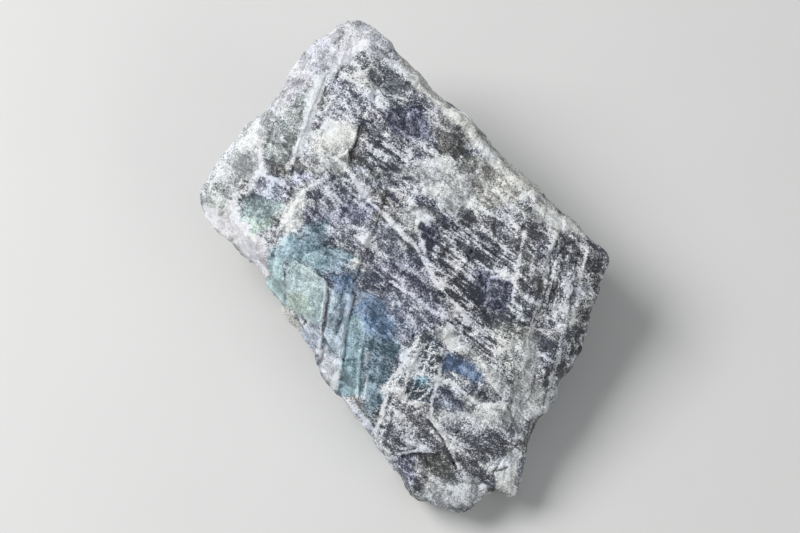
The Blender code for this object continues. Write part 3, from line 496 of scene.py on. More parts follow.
# How far a point must face out of the layout plane, from none to all, to count as upper face, and to
# show the zones and lines.
TOP_NORMALS = (0.35, 0.7)
SHOWN_NORMALS = (-0.15, 0.08)
MERGE = 0.01  # millimetres within which the solid's corners are one point
SMOOTH_SHARE = 0.5  # how far one round of smoothing moves a point


class Drawn(NamedTuple):
    """Noise that is drawn out in one direction of the layout plane."""

    degrees: float
    size: tuple  # length, width and depth in millimetres
    detail: float
    roughness: float
    spread: float  # its usual distance from its middle


# Grain of the finish: patches, the same along the cleavage, and two kinds of thin streaks.
CLOUD = Drawn(-37.0, (5.2, 1.5, 2.4), 4.0, 0.6, 0.075)
BANDS = Drawn(78.0, (6.0, 1.1, 1.8), 4.0, 0.6, 0.075)
STREAKS = Drawn(-35.0, (4.6, 0.46, 0.8), 2.0, 0.5, 0.087)
STRIAE = Drawn(78.0, (5.0, 0.40, 0.8), 2.0, 0.5, 0.087)
SHARDS = (60.0, (1.2, 0.75, 0.9))  # direction and size, as for the chips and the net
CHIPS = (-40.0, (0.6, 0.38, 0.5))
NET = (-42.0, (3.4, 1.9, 2.4))
NET_LINE, NET_HALO = 0.10, 0.25  # half widths, as shares of a cell of the net
WARP_RATE, WARP = 0.40, 0.8  # slow wander of the grain: waves per millimetre, and millimetres
SPECK_RATE, SPECK_SPREAD = 4.8, 0.095  # the finest specks
CELL_SPREAD = 0.29  # usual distance of a cell's number from 0.5
TONE_SPREAD, FROST_SPREAD = 0.2, 0.25  # spreads of the painted tone and frost, about 0.5
NET_MIDDLE = 0.4
WARM_RATE, WARM_SPAN = 0.22, (0.4, 0.6)  # slow change from cool to warm frost

# How much each thing counts: in the net, in the grain, in how thick the frost lies, in how bright a
# grain is, and in the finest relief.
NET_WEIGHTS = {"line": 1.3, "halo": 0.7}
DRAWN_WEIGHTS = {"streak": 1.3, "stria": 0.9}
GRAIN_WEIGHTS = {"drawn": 1.0, "cloud": 0.65, "shard": 0.16, "chip": 0.25, "net": 1.1}
# The negative weight below thins the frost along the painted gap shadows.
FROST_WEIGHTS = {"tone": 0.3, "hatch": 1.0, "lip": 1.2, "vein": 4.2, "gap_shadow": -2.6}
GRAIN_IN_FROST, FINE_IN_FROST = 1.05, 1.15
BRIGHT_WEIGHTS = {"shard": 0.30, "chip": 0.40, "fine": 0.85, "tone": 0.30}
FLAKE_WEIGHTS = {"shard": 0.25, "chip": 0.35}
RELIEF_WEIGHTS = {"flakes": 1.0, "grain": 0.02, "fine": 0.012}

# Ranges of those sums, and the shares that they turn into.
NET_SHOWN = (-1.2, 0.3)  # cloud over which the net comes in
GRAIN_SHARES = (0.18, 1.15)  # strength of the grain on clean crystal and on the roughest
THICK_SPAN, THICK_SHARES = (-1.4, 0.8), (0.75, 1.15)  # frost over which the fine grain strengthens
COVER_SPAN = (-1.8, 1.9)  # from bare crystal to full frost
BRIGHT_SPAN = (-1.6, 1.6)  # from the darkest grain to the lightest
TINT_SPAN, TINT_LEFT = (0.3, 1.0), 0.2  # roughness over which the frost loses the crystal's hue
# Strength over which the painted gap shadows darken the colour.
GAP_SHADOW_SPAN = (0.25, 0.85)
FLAKE_SHARES = (0.25, 1.0)  # height of the flakes on clean crystal and on the roughest

FLOOR_DROP = 0.02  # millimetres under the stone
MOTTLE_RATE, MOTTLE_SHADE, FLOOR_ROUGHNESS = 60.0, 0.97, 0.6  # the mottle runs per metre
ROOM_COLOUR = (0.93, 0.96, 1.0, 1.0)
KEY = ((-0.75, 0.55, 0.75), 0.5, 0.28)  # way on the layout plane, distance and side in metres
FILL = ((0.8, -0.3, 0.8), 0.6, 0.4)


def rgb(colour):
    """Linear colour, with alpha, from one given as it looks."""
    return tuple(((c + 0.055) / 1.055) ** 2.4 if c > 0.04045 else c / 12.92 for c in colour) + (1.0,)


def face_frame():
    """Carries (U, V, W) in metres on the layout plane to the stone's own frame."""
    turn = Matrix.Rotation(math.radians(FACE_TURN_DEG), 4, "Z")
    lean = Matrix.Rotation(math.radians(FACE_LEAN_DEG), 4, "X")
    return Matrix.Translation(Vector(FACE_MIDDLE) * MM) @ turn @ lean


def smooth_step(low, high, x):
    """0 below low, 1 above high, and a smooth rise between."""
    t = np.clip((x - low) / (high - low), 0.0, 1.0)
    return t * t * (3.0 - 2.0 * t)


def waves(places, rate, shift):
    """Smooth noise from about -1 to 1 at each place."""
    return np.array([noise.noise(Vector(place)) for place in places * rate + shift])


def in_sheets(height):
    """Turns smooth heights into flat sheets, one for each whole number, with short risers between."""
    return np.floor(height) + smooth_step(*RISER, height % 1.0)


def along(places, degrees, sizes):
    """Places in lengths, widths and depths of a feature that runs in a direction of the layout."""
    turn = np.array(Matrix.Rotation(math.radians(degrees), 3, "Z"))
    return places @ turn / sizes


def facets(places, shift):
    """Height of a surface broken into flat facets, each tilted its own way, and each one's number."""
    heights, numbers = np.empty(len(places)), np.empty(len(places))
    for i, place in enumerate(places + shift):
        place = Vector(place)
        best = -math.inf
        distances, centres = noise.voronoi(place)
        nearest, farthest = distances[0], distances[-1]
        for distance, centre in zip(distances[:-1], centres):
            tilt = noise.cell_vector(centre * TILT_SEED) - MIDDLE
            height = tilt.dot(place - centre) + FACET_STEP * noise.cell(centre * STEP_SEED)
            sunk = (distance - nearest) / (farthest - nearest + TINY)
            height -= FACET_FADE * sunk ** FADE_POWER
            if height > best:
                best, chosen = height, centre
        heights[i] = best
        numbers[i] = noise.cell(chosen * NUMBER_SEED)
    return heights, numbers


class Skin:
    """The stone's points as arrays, in millimetres: in its own frame (co, normal), on the layout plane
    (place, facing), and as they look from SIGHT_DISTANCE (seen)."""

    def __init__(self, stone):
        points = stone.data.vertices
        self.count = len(points)
        self.co = self.read(points, "co") / MM
        self.normal = self.read(points, "normal")
        turn = np.array(face_frame().to_3x3())
        self.place = (self.co - np.array(FACE_MIDDLE)) @ turn
        self.facing = self.normal @ turn
        nearness = 1.0 - self.place[:, 2:] / SIGHT_DISTANCE
        self.seen = self.place[:, :2] / nearness
        self.out = turn[:, 2]

    def read(self, items, name):
        values = np.empty(self.count * 3)
        items.foreach_get(name, values)
        return values.reshape(-1, 3)

    def write(self, stone):
        stone.data.vertices.foreach_set("co", (self.co * MM).ravel())
        stone.data.update()


def run_distance(places, run):
    """How far each place lies from a run of points, on which side (+1 left), and how far past its ends."""
    nearest = np.full(len(places), np.inf)
    side, beyond = np.ones(len(places)), np.zeros(len(places))
    for i, (start, end) in enumerate(zip(run, run[1:])):
        length = math.dist(start, end)
        way = np.subtract(end, start) / length
        offset = places - start
        travel = offset @ way
        away = np.hypot(*(offset - np.outer(np.clip(travel, 0.0, length), way)).T)
        closer = away < nearest
        nearest[closer] = away[closer]
        side[closer] = np.sign(offset @ (-way[1], way[0]))[closer]
        before = -travel if i == 0 else np.zeros(len(places))
        after = travel - length if i == len(run) - 2 else np.zeros(len(places))
        beyond[closer] = np.maximum(before, after).clip(0.0)[closer]
    return nearest, side, beyond


def depth_inside(places, corners):
    """Distance of each place inside an outline of corners, negative outside it."""
    nearest = run_distance(places, corners + corners[:1])[0]
    x, y = places.T
    inside = np.zeros(len(places), bool)
    for (x0, y0), (x1, y1) in zip(corners, corners[1:] + corners[:1]):
        if y0 != y1:
            crosses = (y0 > y) != (y1 > y)
            inside ^= crosses & (x < (x1 - x0) * (y - y0) / (y1 - y0) + x0)
    return np.where(inside, nearest, -nearest)


def deselect_all():
    bpy.ops.object.select_all(action="DESELECT")


def make_active(obj):
    """Makes an object the only selected one, and the active one."""
    deselect_all()
    obj.select_set(True)
    bpy.context.view_layer.objects.active = obj


def apply_modifier(obj, kind, **options):
    """Adds a modifier to the active object and applies it."""
    modifier = obj.modifiers.new(kind.lower(), kind)
    for name, value in options.items():
        setattr(modifier, name, value)
    bpy.ops.object.modifier_apply(modifier=modifier.name)


def copied_solid():
    """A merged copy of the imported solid, as the object that the surface is worked on."""
    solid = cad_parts[SOLID]
    stone = bpy.data.objects.new(STONE, solid.data.copy())
    bpy.context.scene.collection.objects.link(stone)
    stone.data.materials.clear()
    make_active(stone)
    bpy.ops.object.mode_set(mode="EDIT")
    bpy.ops.mesh.select_all(action="SELECT")
    bpy.ops.mesh.remove_doubles(threshold=MERGE * MM)
    bpy.ops.object.mode_set(mode="OBJECT")
    return stone


def refine(stone, form):
    """Gives the stone an even fine mesh, finer again on the faces that look out of the layout plane."""
    apply_modifier(stone, "REMESH", mode="VOXEL", voxel_size=form.spacing)
    apply_modifier(stone, "SMOOTH", factor=SMOOTH_SHARE, iterations=form.smoothing)
    bpy.ops.object.mode_set(mode="EDIT")
    bpy.ops.mesh.select_mode(type="FACE")
    bpy.ops.mesh.select_all(action="DESELECT")
    bpy.ops.object.mode_set(mode="OBJECT")
    upper = Skin(stone).facing[:, 2] > form.fine_from
    for polygon in stone.data.polygons:
        polygon.select = all(upper[i] for i in polygon.vertices)
    bpy.ops.object.mode_set(mode="EDIT")
    bpy.ops.mesh.subdivide(number_cuts=1)
    bpy.ops.object.mode_set(mode="OBJECT")


def stray(places, rates, shift=0.0):
    """Sideways wander of about one unit, so that what is laid out straight runs ragged."""
    wander = np.zeros((len(places), 2))
    for rate in rates:
        share = rates[0] / rate
        wander[:, 0] += share * waves(places, rate, shift)
        wander[:, 1] += share * waves(places, rate, shift + ACROSS_SHIFT)
    return wander


def sharpen_ledges(skin, depth):
    """Recuts each ledge of the upper face with a crisp edge, where the even mesh had rounded it.

    Returns how bright the frost is at each point: 1 on a ledge's upper lip, and 0 away from it."""
    places = skin.place[:, :2] + LEDGE_WAVER * stray(skin.place, WAVER_RATES)
    upper = smooth_step(*TOP_NORMALS, skin.facing[:, 2])
    change, lip = np.zeros(skin.count), np.zeros(skin.count)
    for _name, drop, ramp, run in LEDGES:
        nearest, side, beyond = run_distance(places, run)
        beside = side * nearest
        crisp = smooth_step(-LEDGE_CRISP, LEDGE_CRISP, beside)
        soft = smooth_step(-LEDGE_SOFT, LEDGE_SOFT, beside)
        ease = (1.0 - smooth_step(0.0, ramp, beside)) * (1.0 - smooth_step(0.0, LEDGE_FADE, beyond))
        change -= drop * depth * (crisp - soft) * ease
        near = (1.0 - np.abs(beside + LIP_SHIFT) / LIP_WIDTH).clip(0.0)
        lip = np.maximum(lip, near * (1.0 - smooth_step(0.0, LEDGE_FADE, beyond)))
    skin.co += np.outer(change * upper, skin.out)
    return lip * upper


def hatched(places):
    """Thin raised lines in patches, in the directions of HATCHES: 1 on a line, and 0 away from it."""
    found = np.zeros(len(places))
    for degrees, length, width, shift in HATCHES:
        wave = waves(along(places, degrees, (length, width, width)), 1.0, shift)
        wave += HATCH_WAVER * waves(places, HATCH_WAVER_RATE, shift)
        patchy = smooth_step(*HATCH_PATCH, waves(places, HATCH_PATCH_RATE, shift + HATCH_PATCH_SHIFT))
        found = np.maximum(found, patchy * (1.0 - np.abs(wave) / HATCH_LINE).clip(0.0))
    return found


def relief(skin, paint, form):
    """Height of the broken surface at each point: sheets, facets from coarse to fine, hatching and lines.

    Adds where the hatching lies, and a tone for each coarse facet, to the paint."""
    wall = 1.0 - smooth_step(*TOP_NORMALS, skin.facing[:, 2])
    height = np.zeros(skin.count)
    for degrees, sizes, step, shift in SHEETS:
        sheets = in_sheets(SHEET_COUNT * waves(along(skin.place, degrees, sizes), 1.0, shift))
        height += (1.0 - wall) * step * sheets
    sheets = in_sheets(SHEET_COUNT * waves(skin.place / WALL_SHEET_SIZE, 1.0, WALL_SHIFT))
    height += wall * WALL_STEP * sheets
    rough = np.maximum(paint["speckle"], WALL_ROUGH * wall)
    numbers = []
    for degrees, sizes, tilt, shift, always in FACETS:
        broken, number = facets(along(skin.place, degrees, sizes), shift)
        height += form.grain * tilt * min(sizes) * broken * (always + (1.0 - always) * rough)
        numbers.append(number)
    paint["hatch"] = hatched(skin.place)
    paint["tone"] = 0.5 * (numbers[0] + numbers[1])
    height += form.grain * rough * HATCH_HEIGHT * paint["hatch"]
    height += VEIN_HEIGHT * paint["vein"] - GAP_SHADOW_DEPTH * paint["gap_shadow"]
    return height - height.mean()


def standing_out(stone, skin, rounds):
    """How far each point stands out of the surface round it, in millimetres. Hollows are negative."""
    ends = np.empty(len(stone.data.edges) * 2, np.int64)
    stone.data.edges.foreach_get("vertices", ends)
    a, b = ends.reshape(-1, 2).T
    degree = np.bincount(ends, minlength=skin.count)
    mean = skin.co.copy()
    for _ in range(rounds):
        total = np.stack([
            np.bincount(a, mean[b, k], skin.count) + np.bincount(b, mean[a, k], skin.count)
            for k in range(3)], axis=1)
        mean = 0.5 * mean + 0.5 * total / degree[:, None]
    return np.einsum("ij,ij->i", skin.co - mean, skin.normal)


def values_of(finish):
    """A finish as a row of numbers: its linear colour, then its shares."""
    return np.array(rgb(finish.tint)[:3] + finish[1:])


def painted(skin):
    """What each point of the stone looks like: tint and shares, from the patches and then the zones."""
    look = np.tile(values_of(FINISHES["grey"]), (skin.count, 1))
    towards = smooth_step(*SHOWN_NORMALS, skin.facing[:, 2])
    for finish, rate, level, shift, on_top in PATCHES:
        wave = waves(skin.place, rate, shift)
        wave += PATCH_FRAY * waves(skin.place, rate * FRAY_RATE, shift)
        cover = smooth_step(level - PATCH_EDGE, level + PATCH_EDGE, wave)
        look = laid_over(look, FINISHES[finish], cover * (1.0 + (on_top - 1.0) * towards))
    wander = stray(skin.place, RAGGED_RATES)
    for _name, finish, soft, corners in ZONES:
        inside = depth_inside(skin.seen + RAGGED * soft * wander, corners)
        cover = towards * smooth_step(-soft, soft, inside)
        look = laid_over(look, FINISHES[finish], cover)
    paint = {name: look[:, 3 + i] for i, name in enumerate(CHANNELS)}
    paint["tint"] = look[:, :3]
    paint["hue"] = look[:, :3] / look[:, :3].max(axis=1, keepdims=True)
    return paint


def laid_over(look, finish, cover):
    """The look with a finish over it, as far as it covers each point."""
    return look + cover[:, None] * (values_of(finish) - look)


def line_strength(skin, lines, shift):
    """Nearness to the closest of a set of lines: its strength on the line, and 0 from one width away."""
    places = skin.seen + LINE_STRAY * stray(skin.place, LINE_RATES, shift)
    towards = smooth_step(*SHOWN_NORMALS, skin.facing[:, 2])
    swell = 1.0 + LINE_SWELL * waves(skin.place, SWELL_RATE, shift + SWELL_SHIFT)
    found = np.zeros(skin.count)
    for _name, width, strength, run in lines:
        nearest, _side, beyond = run_distance(places, run)
        near = (LINE_CORE * (1.0 - nearest / (width * swell))).clip(0.0, 1.0)
        near *= 1.0 - smooth_step(0.0, LINE_FADE, beyond)
        found = np.maximum(found, strength * near)
    return found * towards


def store(stone, name, values):
    """Keeps one number or colour for each point as a named attribute."""
    kind = "FLOAT_COLOR" if values.ndim == 2 else "FLOAT"
    attribute = stone.data.attributes.new(name, kind, "POINT")
    if values.ndim == 2:
        colours = np.column_stack([values, np.ones(len(values))])
        attribute.data.foreach_set("color", colours.astype(np.float32).ravel())
    else:
        attribute.data.foreach_set("value", values.astype(np.float32))


class Recipe:
    """A material's nodes, added one at a time. A value that is a socket is linked, and any other is set."""

    def __init__(self, name):
        self.material = bpy.data.materials.new(name)
        self.material.use_nodes = True
        self.tree = self.material.node_tree
        self.tree.nodes.clear()

    def node(self, kind, inputs, **options):
        made = self.tree.nodes.new("ShaderNode" + kind)
        for name, value in options.items():
            setattr(made, name, value)
        for name, value in inputs.items():
            if isinstance(value, bpy.types.NodeSocket):
                self.tree.links.new(value, made.inputs[name])
            else:
                made.inputs[name].default_value = value
        return made

    def turned(self, vector, degrees, size):
        """Coordinates that run along a direction, measured in lengths, widths and depths."""
        return self.placed(vector, (0.0, 0.0, 0.0), (0.0, 0.0, math.radians(degrees)), size)

    def placed(self, vector, location, rotation, scale):
        """Coordinates in a frame that is moved, turned and stretched as said."""
        inputs = {"Vector": vector, "Location": location, "Rotation": rotation, "Scale": scale}
        return self.node("Mapping", inputs, vector_type="TEXTURE").outputs[0]

    def noise(self, vector, scale, detail, roughness, output=0):
        inputs = {"Vector": vector, "Scale": scale, "Detail": detail, "Roughness": roughness}
        return self.node("TexNoise", inputs).outputs[output]

    def drawn(self, vector, grain):
        """Noise drawn out in a direction, measured from its middle in spreads."""
        placed = self.turned(vector, grain.degrees, grain.size)
        return self.centred(self.noise(placed, 1.0, grain.detail, grain.roughness), 0.5, grain.spread)

    def net(self, vector, degrees, size):
        """Distance from the lines of a net, in shares of its cells."""
        inputs = {"Vector": self.turned(vector, degrees, size), "Scale": 1.0}
        return self.node("TexVoronoi", inputs, feature="DISTANCE_TO_EDGE").outputs["Distance"]

    def grains(self, vector, degrees, size):
        """Small flat grains, each tilted its own way: a number for each about 0, and their height."""
        placed = self.turned(vector, degrees, size)
        cell = self.node("TexVoronoi", {"Vector": placed, "Scale": 1.0}).outputs
        number = self.node("SeparateColor", {"Color": cell["Color"]}).outputs[0]
        across = self.vector_math("SUBTRACT", placed, cell["Position"])
        tilt = self.vector_math("SUBTRACT", cell["Color"], tuple(MIDDLE))
        height = self.vector_math("DOT_PRODUCT", across, tilt, "Value")
        return self.centred(number, 0.5, CELL_SPREAD), self.math("MULTIPLY", height, min(size))

    def vector_math(self, operation, a, b, output=0):
        return self.node("VectorMath", {0: a, 1: b}, operation=operation).outputs[output]

    def scaled(self, colour, share):
        return self.node("VectorMath", {0: colour, 3: share}, operation="SCALE").outputs[0]

    def centred(self, value, middle, spread):
        """The value measured from its middle, in spreads."""
        return self.math("MULTIPLY", self.math("SUBTRACT", value, middle), 1.0 / spread)

    def total(self, weights, parts):
        """Sum of named values, each times its weight."""
        whole = 0.0
        for name, value in parts.items():
            inputs = {0: value, 1: weights[name], 2: whole}
            whole = self.node("Math", inputs, operation="MULTIPLY_ADD").outputs[0]
        return whole

    def attribute(self, name, output="Fac"):
        return self.node("Attribute", {}, attribute_name=name).outputs[output]

    def math(self, operation, a, b):
        return self.node("Math", {0: a, 1: b}, operation=operation).outputs[0]

    def span(self, value, limits, shares=(0.0, 1.0), smooth=False):
        """The value's place between two limits, as a number between two shares."""
        inputs = dict(enumerate((value, *limits, *shares)))
        kind = "SMOOTHSTEP" if smooth else "LINEAR"
        return self.node("MapRange", inputs, interpolation_type=kind).outputs[0]

    def blend(self, share, a, b):
        """A number between a and b."""
        return self.node("Mix", {0: share, 2: a, 3: b}, data_type="FLOAT").outputs[0]

    def colour(self, share, a, b, kind="MIX"):
        """A colour between a and b."""
        inputs = {0: share, 6: a, 7: b}
        return self.node("Mix", inputs, data_type="RGBA", blend_type=kind).outputs[2]


def grain_parts(recipe, face):
    """The grain on the layout plane, some of its parts on their own, and the height of its flakes."""
    stria = recipe.attribute("stria")
    wander = recipe.noise(face, WARP_RATE, detail=3.0, roughness=0.6, output="Color")
    warp = {0: wander, 1: (WARP,) * 3, 2: face}
    warped = recipe.node("VectorMath", warp, operation="MULTIPLY_ADD").outputs[0]
    cloud = recipe.blend(stria, recipe.drawn(warped, CLOUD), recipe.drawn(warped, BANDS))
    shard, shard_height = recipe.grains(face, *SHARDS)
    chip, chip_height = recipe.grains(face, *CHIPS)
    specks = recipe.noise(face, SPECK_RATE, detail=1.0, roughness=0.9)
    fine = recipe.centred(specks, 0.5, SPECK_SPREAD)

    away = recipe.net(warped, *NET)
    net = recipe.total(NET_WEIGHTS, {
        "line": recipe.span(away, (0.0, NET_LINE), (1.0, 0.0)),
        "halo": recipe.span(away, (0.0, NET_HALO), (1.0, 0.0), smooth=True),
    })
    net = recipe.math("MULTIPLY", net, recipe.span(cloud, NET_SHOWN, smooth=True))
    drawn = recipe.total(DRAWN_WEIGHTS, {
        "streak": recipe.math("MULTIPLY", recipe.drawn(face, STREAKS), recipe.attribute("streak")),
        "stria": recipe.math("MULTIPLY", recipe.drawn(face, STRIAE), stria),
    })
    parts = {"drawn": drawn, "cloud": cloud, "shard": shard, "chip": chip,
             "net": recipe.centred(net, NET_MIDDLE, 1.0)}
    grain = recipe.total(GRAIN_WEIGHTS, parts)
    flakes = recipe.total(FLAKE_WEIGHTS, {"shard": shard_height, "chip": chip_height})
    return grain, {"shard": shard, "chip": chip, "fine": fine}, flakes


def frost_cover(recipe, look, grain, fine, speckle, tone):
    """How much of each spot is frosted. Hollows, as painted shade, and the painted gap shadows beside the
    steps thin it.
    """
    weights = {"grain": GRAIN_IN_FROST, "lift": 1.0, "edge_wear_hollow_shade": look.edge_frost_hollow_shade, **FROST_WEIGHTS}
    level = recipe.total(weights, {
        "grain": recipe.math("MULTIPLY", grain, recipe.span(speckle, (0.0, 1.0), GRAIN_SHARES)),
        "lift": recipe.centred(recipe.attribute("frost"), 0.5, FROST_SPREAD),
        "tone": tone,
        **{name: recipe.attribute(name) for name in ("edge_wear_hollow_shade", "hatch", "lip", "vein", "gap_shadow")},
    })
    thick = recipe.span(level, THICK_SPAN, THICK_SHARES, smooth=True)
    speckled = recipe.math("ADD", recipe.math("MULTIPLY", speckle, thick), look.even_speckle)
    level = recipe.total({"fine": FINE_IN_FROST, "level": 1.0},
                         {"fine": recipe.math("MULTIPLY", fine, speckled), "level": level})
    return recipe.math("POWER", recipe.span(level, COVER_SPAN), look.frost_rise)


def stone_material(look):
    """Feldspar: glassy crystal whose tint carries the blue-green schiller as painted sheen, white frost in
    its grain, thin white veins, and painted shadows in the gaps beside the steps.
    """
    recipe = Recipe(SLOT)
    place = recipe.node("TexCoord", {}).outputs["Object"]
    lean = (math.radians(FACE_LEAN_DEG), 0.0, math.radians(FACE_TURN_DEG))
    face = recipe.placed(place, Vector(FACE_MIDDLE) * MM, lean, (MM, MM, MM))
    speckle = recipe.attribute("speckle")
    tone = recipe.centred(recipe.attribute("tone"), 0.5, TONE_SPREAD)
    grain, parts, flakes = grain_parts(recipe, face)
    fine = parts["fine"]
    cover = frost_cover(recipe, look, grain, fine, speckle, tone)

    bright = recipe.total(BRIGHT_WEIGHTS, {**parts, "tone": tone})
    shade = recipe.span(bright, BRIGHT_SPAN, (look.crystal_dark, look.crystal_light))
    crystal = recipe.scaled(recipe.attribute("tint", "Color"), shade)
    broad = recipe.noise(face, WARM_RATE, detail=2.0, roughness=0.5)
    warm = recipe.span(broad, WARM_SPAN, smooth=True)
    white = recipe.colour(warm, (*look.frost_cool, 1.0), (*look.frost_warm, 1.0))
    tinted = recipe.span(speckle, TINT_SPAN, (look.frost_tint, TINT_LEFT * look.frost_tint))
    white = recipe.colour(tinted, white, recipe.attribute("hue", "Color"), "MULTIPLY")
    white = recipe.scaled(white, recipe.span(bright, BRIGHT_SPAN, (look.frost_dark, 1.0)))
    colour = recipe.colour(cover, crystal, white)
    # Painted shadow beside the steps: the colour falls towards the dark shadow colour.
    gap_shadow_share = recipe.span(recipe.attribute("gap_shadow"), GAP_SHADOW_SPAN, smooth=True)
    colour = recipe.colour(recipe.math("MULTIPLY", gap_shadow_share, look.gap_shadow_dark), colour, (*look.shadow_ink, 1.0))

    flakes = recipe.math("MULTIPLY", flakes, recipe.span(speckle, (0.0, 1.0), FLAKE_SHARES))
    height = recipe.total(RELIEF_WEIGHTS, {"flakes": flakes, "grain": grain, "fine": fine})
    bump = recipe.node("Bump", {"Height": height, "Strength": look.bump, "Distance": look.bump_depth})
    surface = recipe.node("BsdfPrincipled", {
        "Base Color": colour,
        "Roughness": recipe.blend(cover, look.clean_roughness, look.frost_roughness),
        "Normal": bump.outputs[0],
    })
    recipe.node("OutputMaterial", {"Surface": surface.outputs[0]})
    return recipe.material


def floor_material(stage):
    """Plain pale board with a faint mottle."""
    recipe = Recipe("pale_floor")
    place = recipe.node("TexCoord", {}).outputs["Object"]
    mottle = recipe.noise(place, MOTTLE_RATE, detail=3.0, roughness=0.6)
    pale = Vector(stage.floor_colour)
    colour = recipe.colour(mottle, (*(pale * MOTTLE_SHADE), 1.0), (*pale, 1.0))
    surface = recipe.node("BsdfPrincipled", {"Base Color": colour, "Roughness": FLOOR_ROUGHNESS})
    recipe.node("OutputMaterial", {"Surface": surface.outputs[0]})
    return recipe.material


def area_light(name, towards, distance, size, power):
    """A soft square light on the layout plane's (U, V, W) direction from its middle, facing it."""
    frame_of_face = face_frame()
    direction = (frame_of_face.to_3x3() @ Vector(towards)).normalized()
    light = bpy.data.lights.new(name, "AREA")
    light.size = size
    light.energy = power
    lamp = bpy.data.objects.new(name, light)
    bpy.context.scene.collection.objects.link(lamp)
    lamp.location = frame_of_face.translation + direction * distance
    lamp.rotation_euler = direction.to_track_quat("Z", "Y").to_euler()


def add_camera(stage):
    """Looks straight down onto the layout plane."""
    lens = bpy.data.cameras.new("camera")
    lens.lens = stage.focal_length
    camera = bpy.data.objects.new("camera", lens)
    bpy.context.scene.collection.objects.link(camera)
    placed = face_frame()
    out = placed.to_3x3() @ Vector((0.0, 0.0, 1.0))
    camera.location = placed.translation + out * SIGHT_DISTANCE * MM
    camera.rotation_euler = placed.to_euler()
    bpy.context.scene.camera = camera


def tint_knob(name, colour, description):
    return FloatVectorProperty(name=name, description=description, subtype="COLOR", size=3, min=0.0,
                               max=1.0, default=rgb(colour)[:3])


def knob(name, default, description, least=0.0, most=1.0, **kind):
    return FloatProperty(name=name, description=description, default=default, min=least, max=most, **kind)


def share_knob(*said, **limits):
    return knob(*said, subtype="FACTOR", **limits)


def length_knob(*said):
    return knob(*said, subtype="DISTANCE", unit="LENGTH", precision=5)


def power_knob(*said):
    return knob(*said, most=100.0, subtype="POWER", unit="POWER")  # watts


class LARVIKITE_PG_form(bpy.types.PropertyGroup):
    spacing: length_knob(
        "Mesh spacing", 0.38 * MM, "Spacing of the even mesh that the surface is worked on", 0.2 * MM,
        2.0 * MM)
    smoothing: IntProperty(
        name="Smoothing", description="Rounds of smoothing that take the solid's flat facets away",
        default=5, min=0, max=30)
    fine_from: share_knob(
        "Fine mesh from", 0.75, "How far a face must look out of the upper slope to get the finer mesh",
        least=-1.0)
    ledge_depth: share_knob(
        "Ledge depth", 0.6, "Depth of the recut cleavage steps, as a share of the solid's", most=2.0)
    grain: share_knob(
        "Grain height", 1.0, "Height of the broken crystal grains, as a share of the usual", most=3.0)


class LARVIKITE_PG_look(bpy.types.PropertyGroup):
    frost_cool: tint_knob("Cool frost", (0.95, 0.96, 0.975), "Fractured feldspar in the cooler patches")
    frost_warm: tint_knob("Warm frost", (0.975, 0.975, 0.965), "Fractured feldspar in the warmer patches")
    # Colour of the painted shadows in the gaps beside the steps.
    shadow_ink: tint_knob("Dark mineral", (0.19, 0.19, 0.21), "Colour that the dark gaps fall towards")
    crystal_dark: knob("Darkest crystal", 0.65, "The darkest grains, against their tint", most=2.0)
    crystal_light: knob("Lightest crystal", 1.7, "The lightest grains, against their tint", most=3.0)
    frost_dark: share_knob("Darkest frost", 0.84, "Brightness of the dullest frost")
    frost_tint: share_knob("Frost tint", 0.6, "How far frost takes on the colour of the crystal under it")
    even_speckle: knob("Even speckle", 0.14, "Fine frost grains on the smooth cleavage faces too")
    frost_rise: knob("Frost rise", 1.3, "Above 1, frost keeps to its thickest spots", 0.2, 4.0)
    # More frost on proud edges, which is wear, and less in hollows, which is painted shade.
    edge_frost_hollow_shade: knob(
        "Frosted edges", 0.4, "Extra frost on edges that stand out, taken from hollows", most=3.0)
    # How far the painted gap shadows fall towards that colour.
    gap_shadow_dark: share_knob("Dark gaps", 0.7, "How far the gaps fall towards the dark mineral")
    clean_roughness: share_knob("Crystal roughness", 0.22, "Roughness of the clean cleavage faces")
    frost_roughness: share_knob("Frost roughness", 0.8, "Roughness of the frosted grain")
    bump: share_knob("Bump", 0.8, "Strength of the finest grain")
    bump_depth: length_knob(
        "Bump depth", 1.0 * MM, "Depth that the finest grain is scaled to", 0.0, 5.0 * MM)


class LARVIKITE_PG_stage(bpy.types.PropertyGroup):
    floor_size: length_knob("Floor size", 4.0, "Side of the square floor", 0.2, 20.0)
    floor_colour: tint_knob("Floor", (0.86, 0.86, 0.85), "Plain pale board")
    key_power: power_knob("Key light", 2.4, "Power of the large light up and to the left")
    fill_power: power_knob("Fill light", 0.6, "Power of the weaker light on the right")
    sky: knob("Room light", 0.3, "Strength of the even light all round", most=10.0)
    focal_length: knob("Focal length", 100.0, "Camera lens, in millimetres", 10.0, 300.0)


def settings():
    return bpy.context.scene.larvikite


class LARVIKITE_PG_block(bpy.types.PropertyGroup):
    form: PointerProperty(type=LARVIKITE_PG_form)
    look: PointerProperty(type=LARVIKITE_PG_look)
    stage: PointerProperty(type=LARVIKITE_PG_stage)


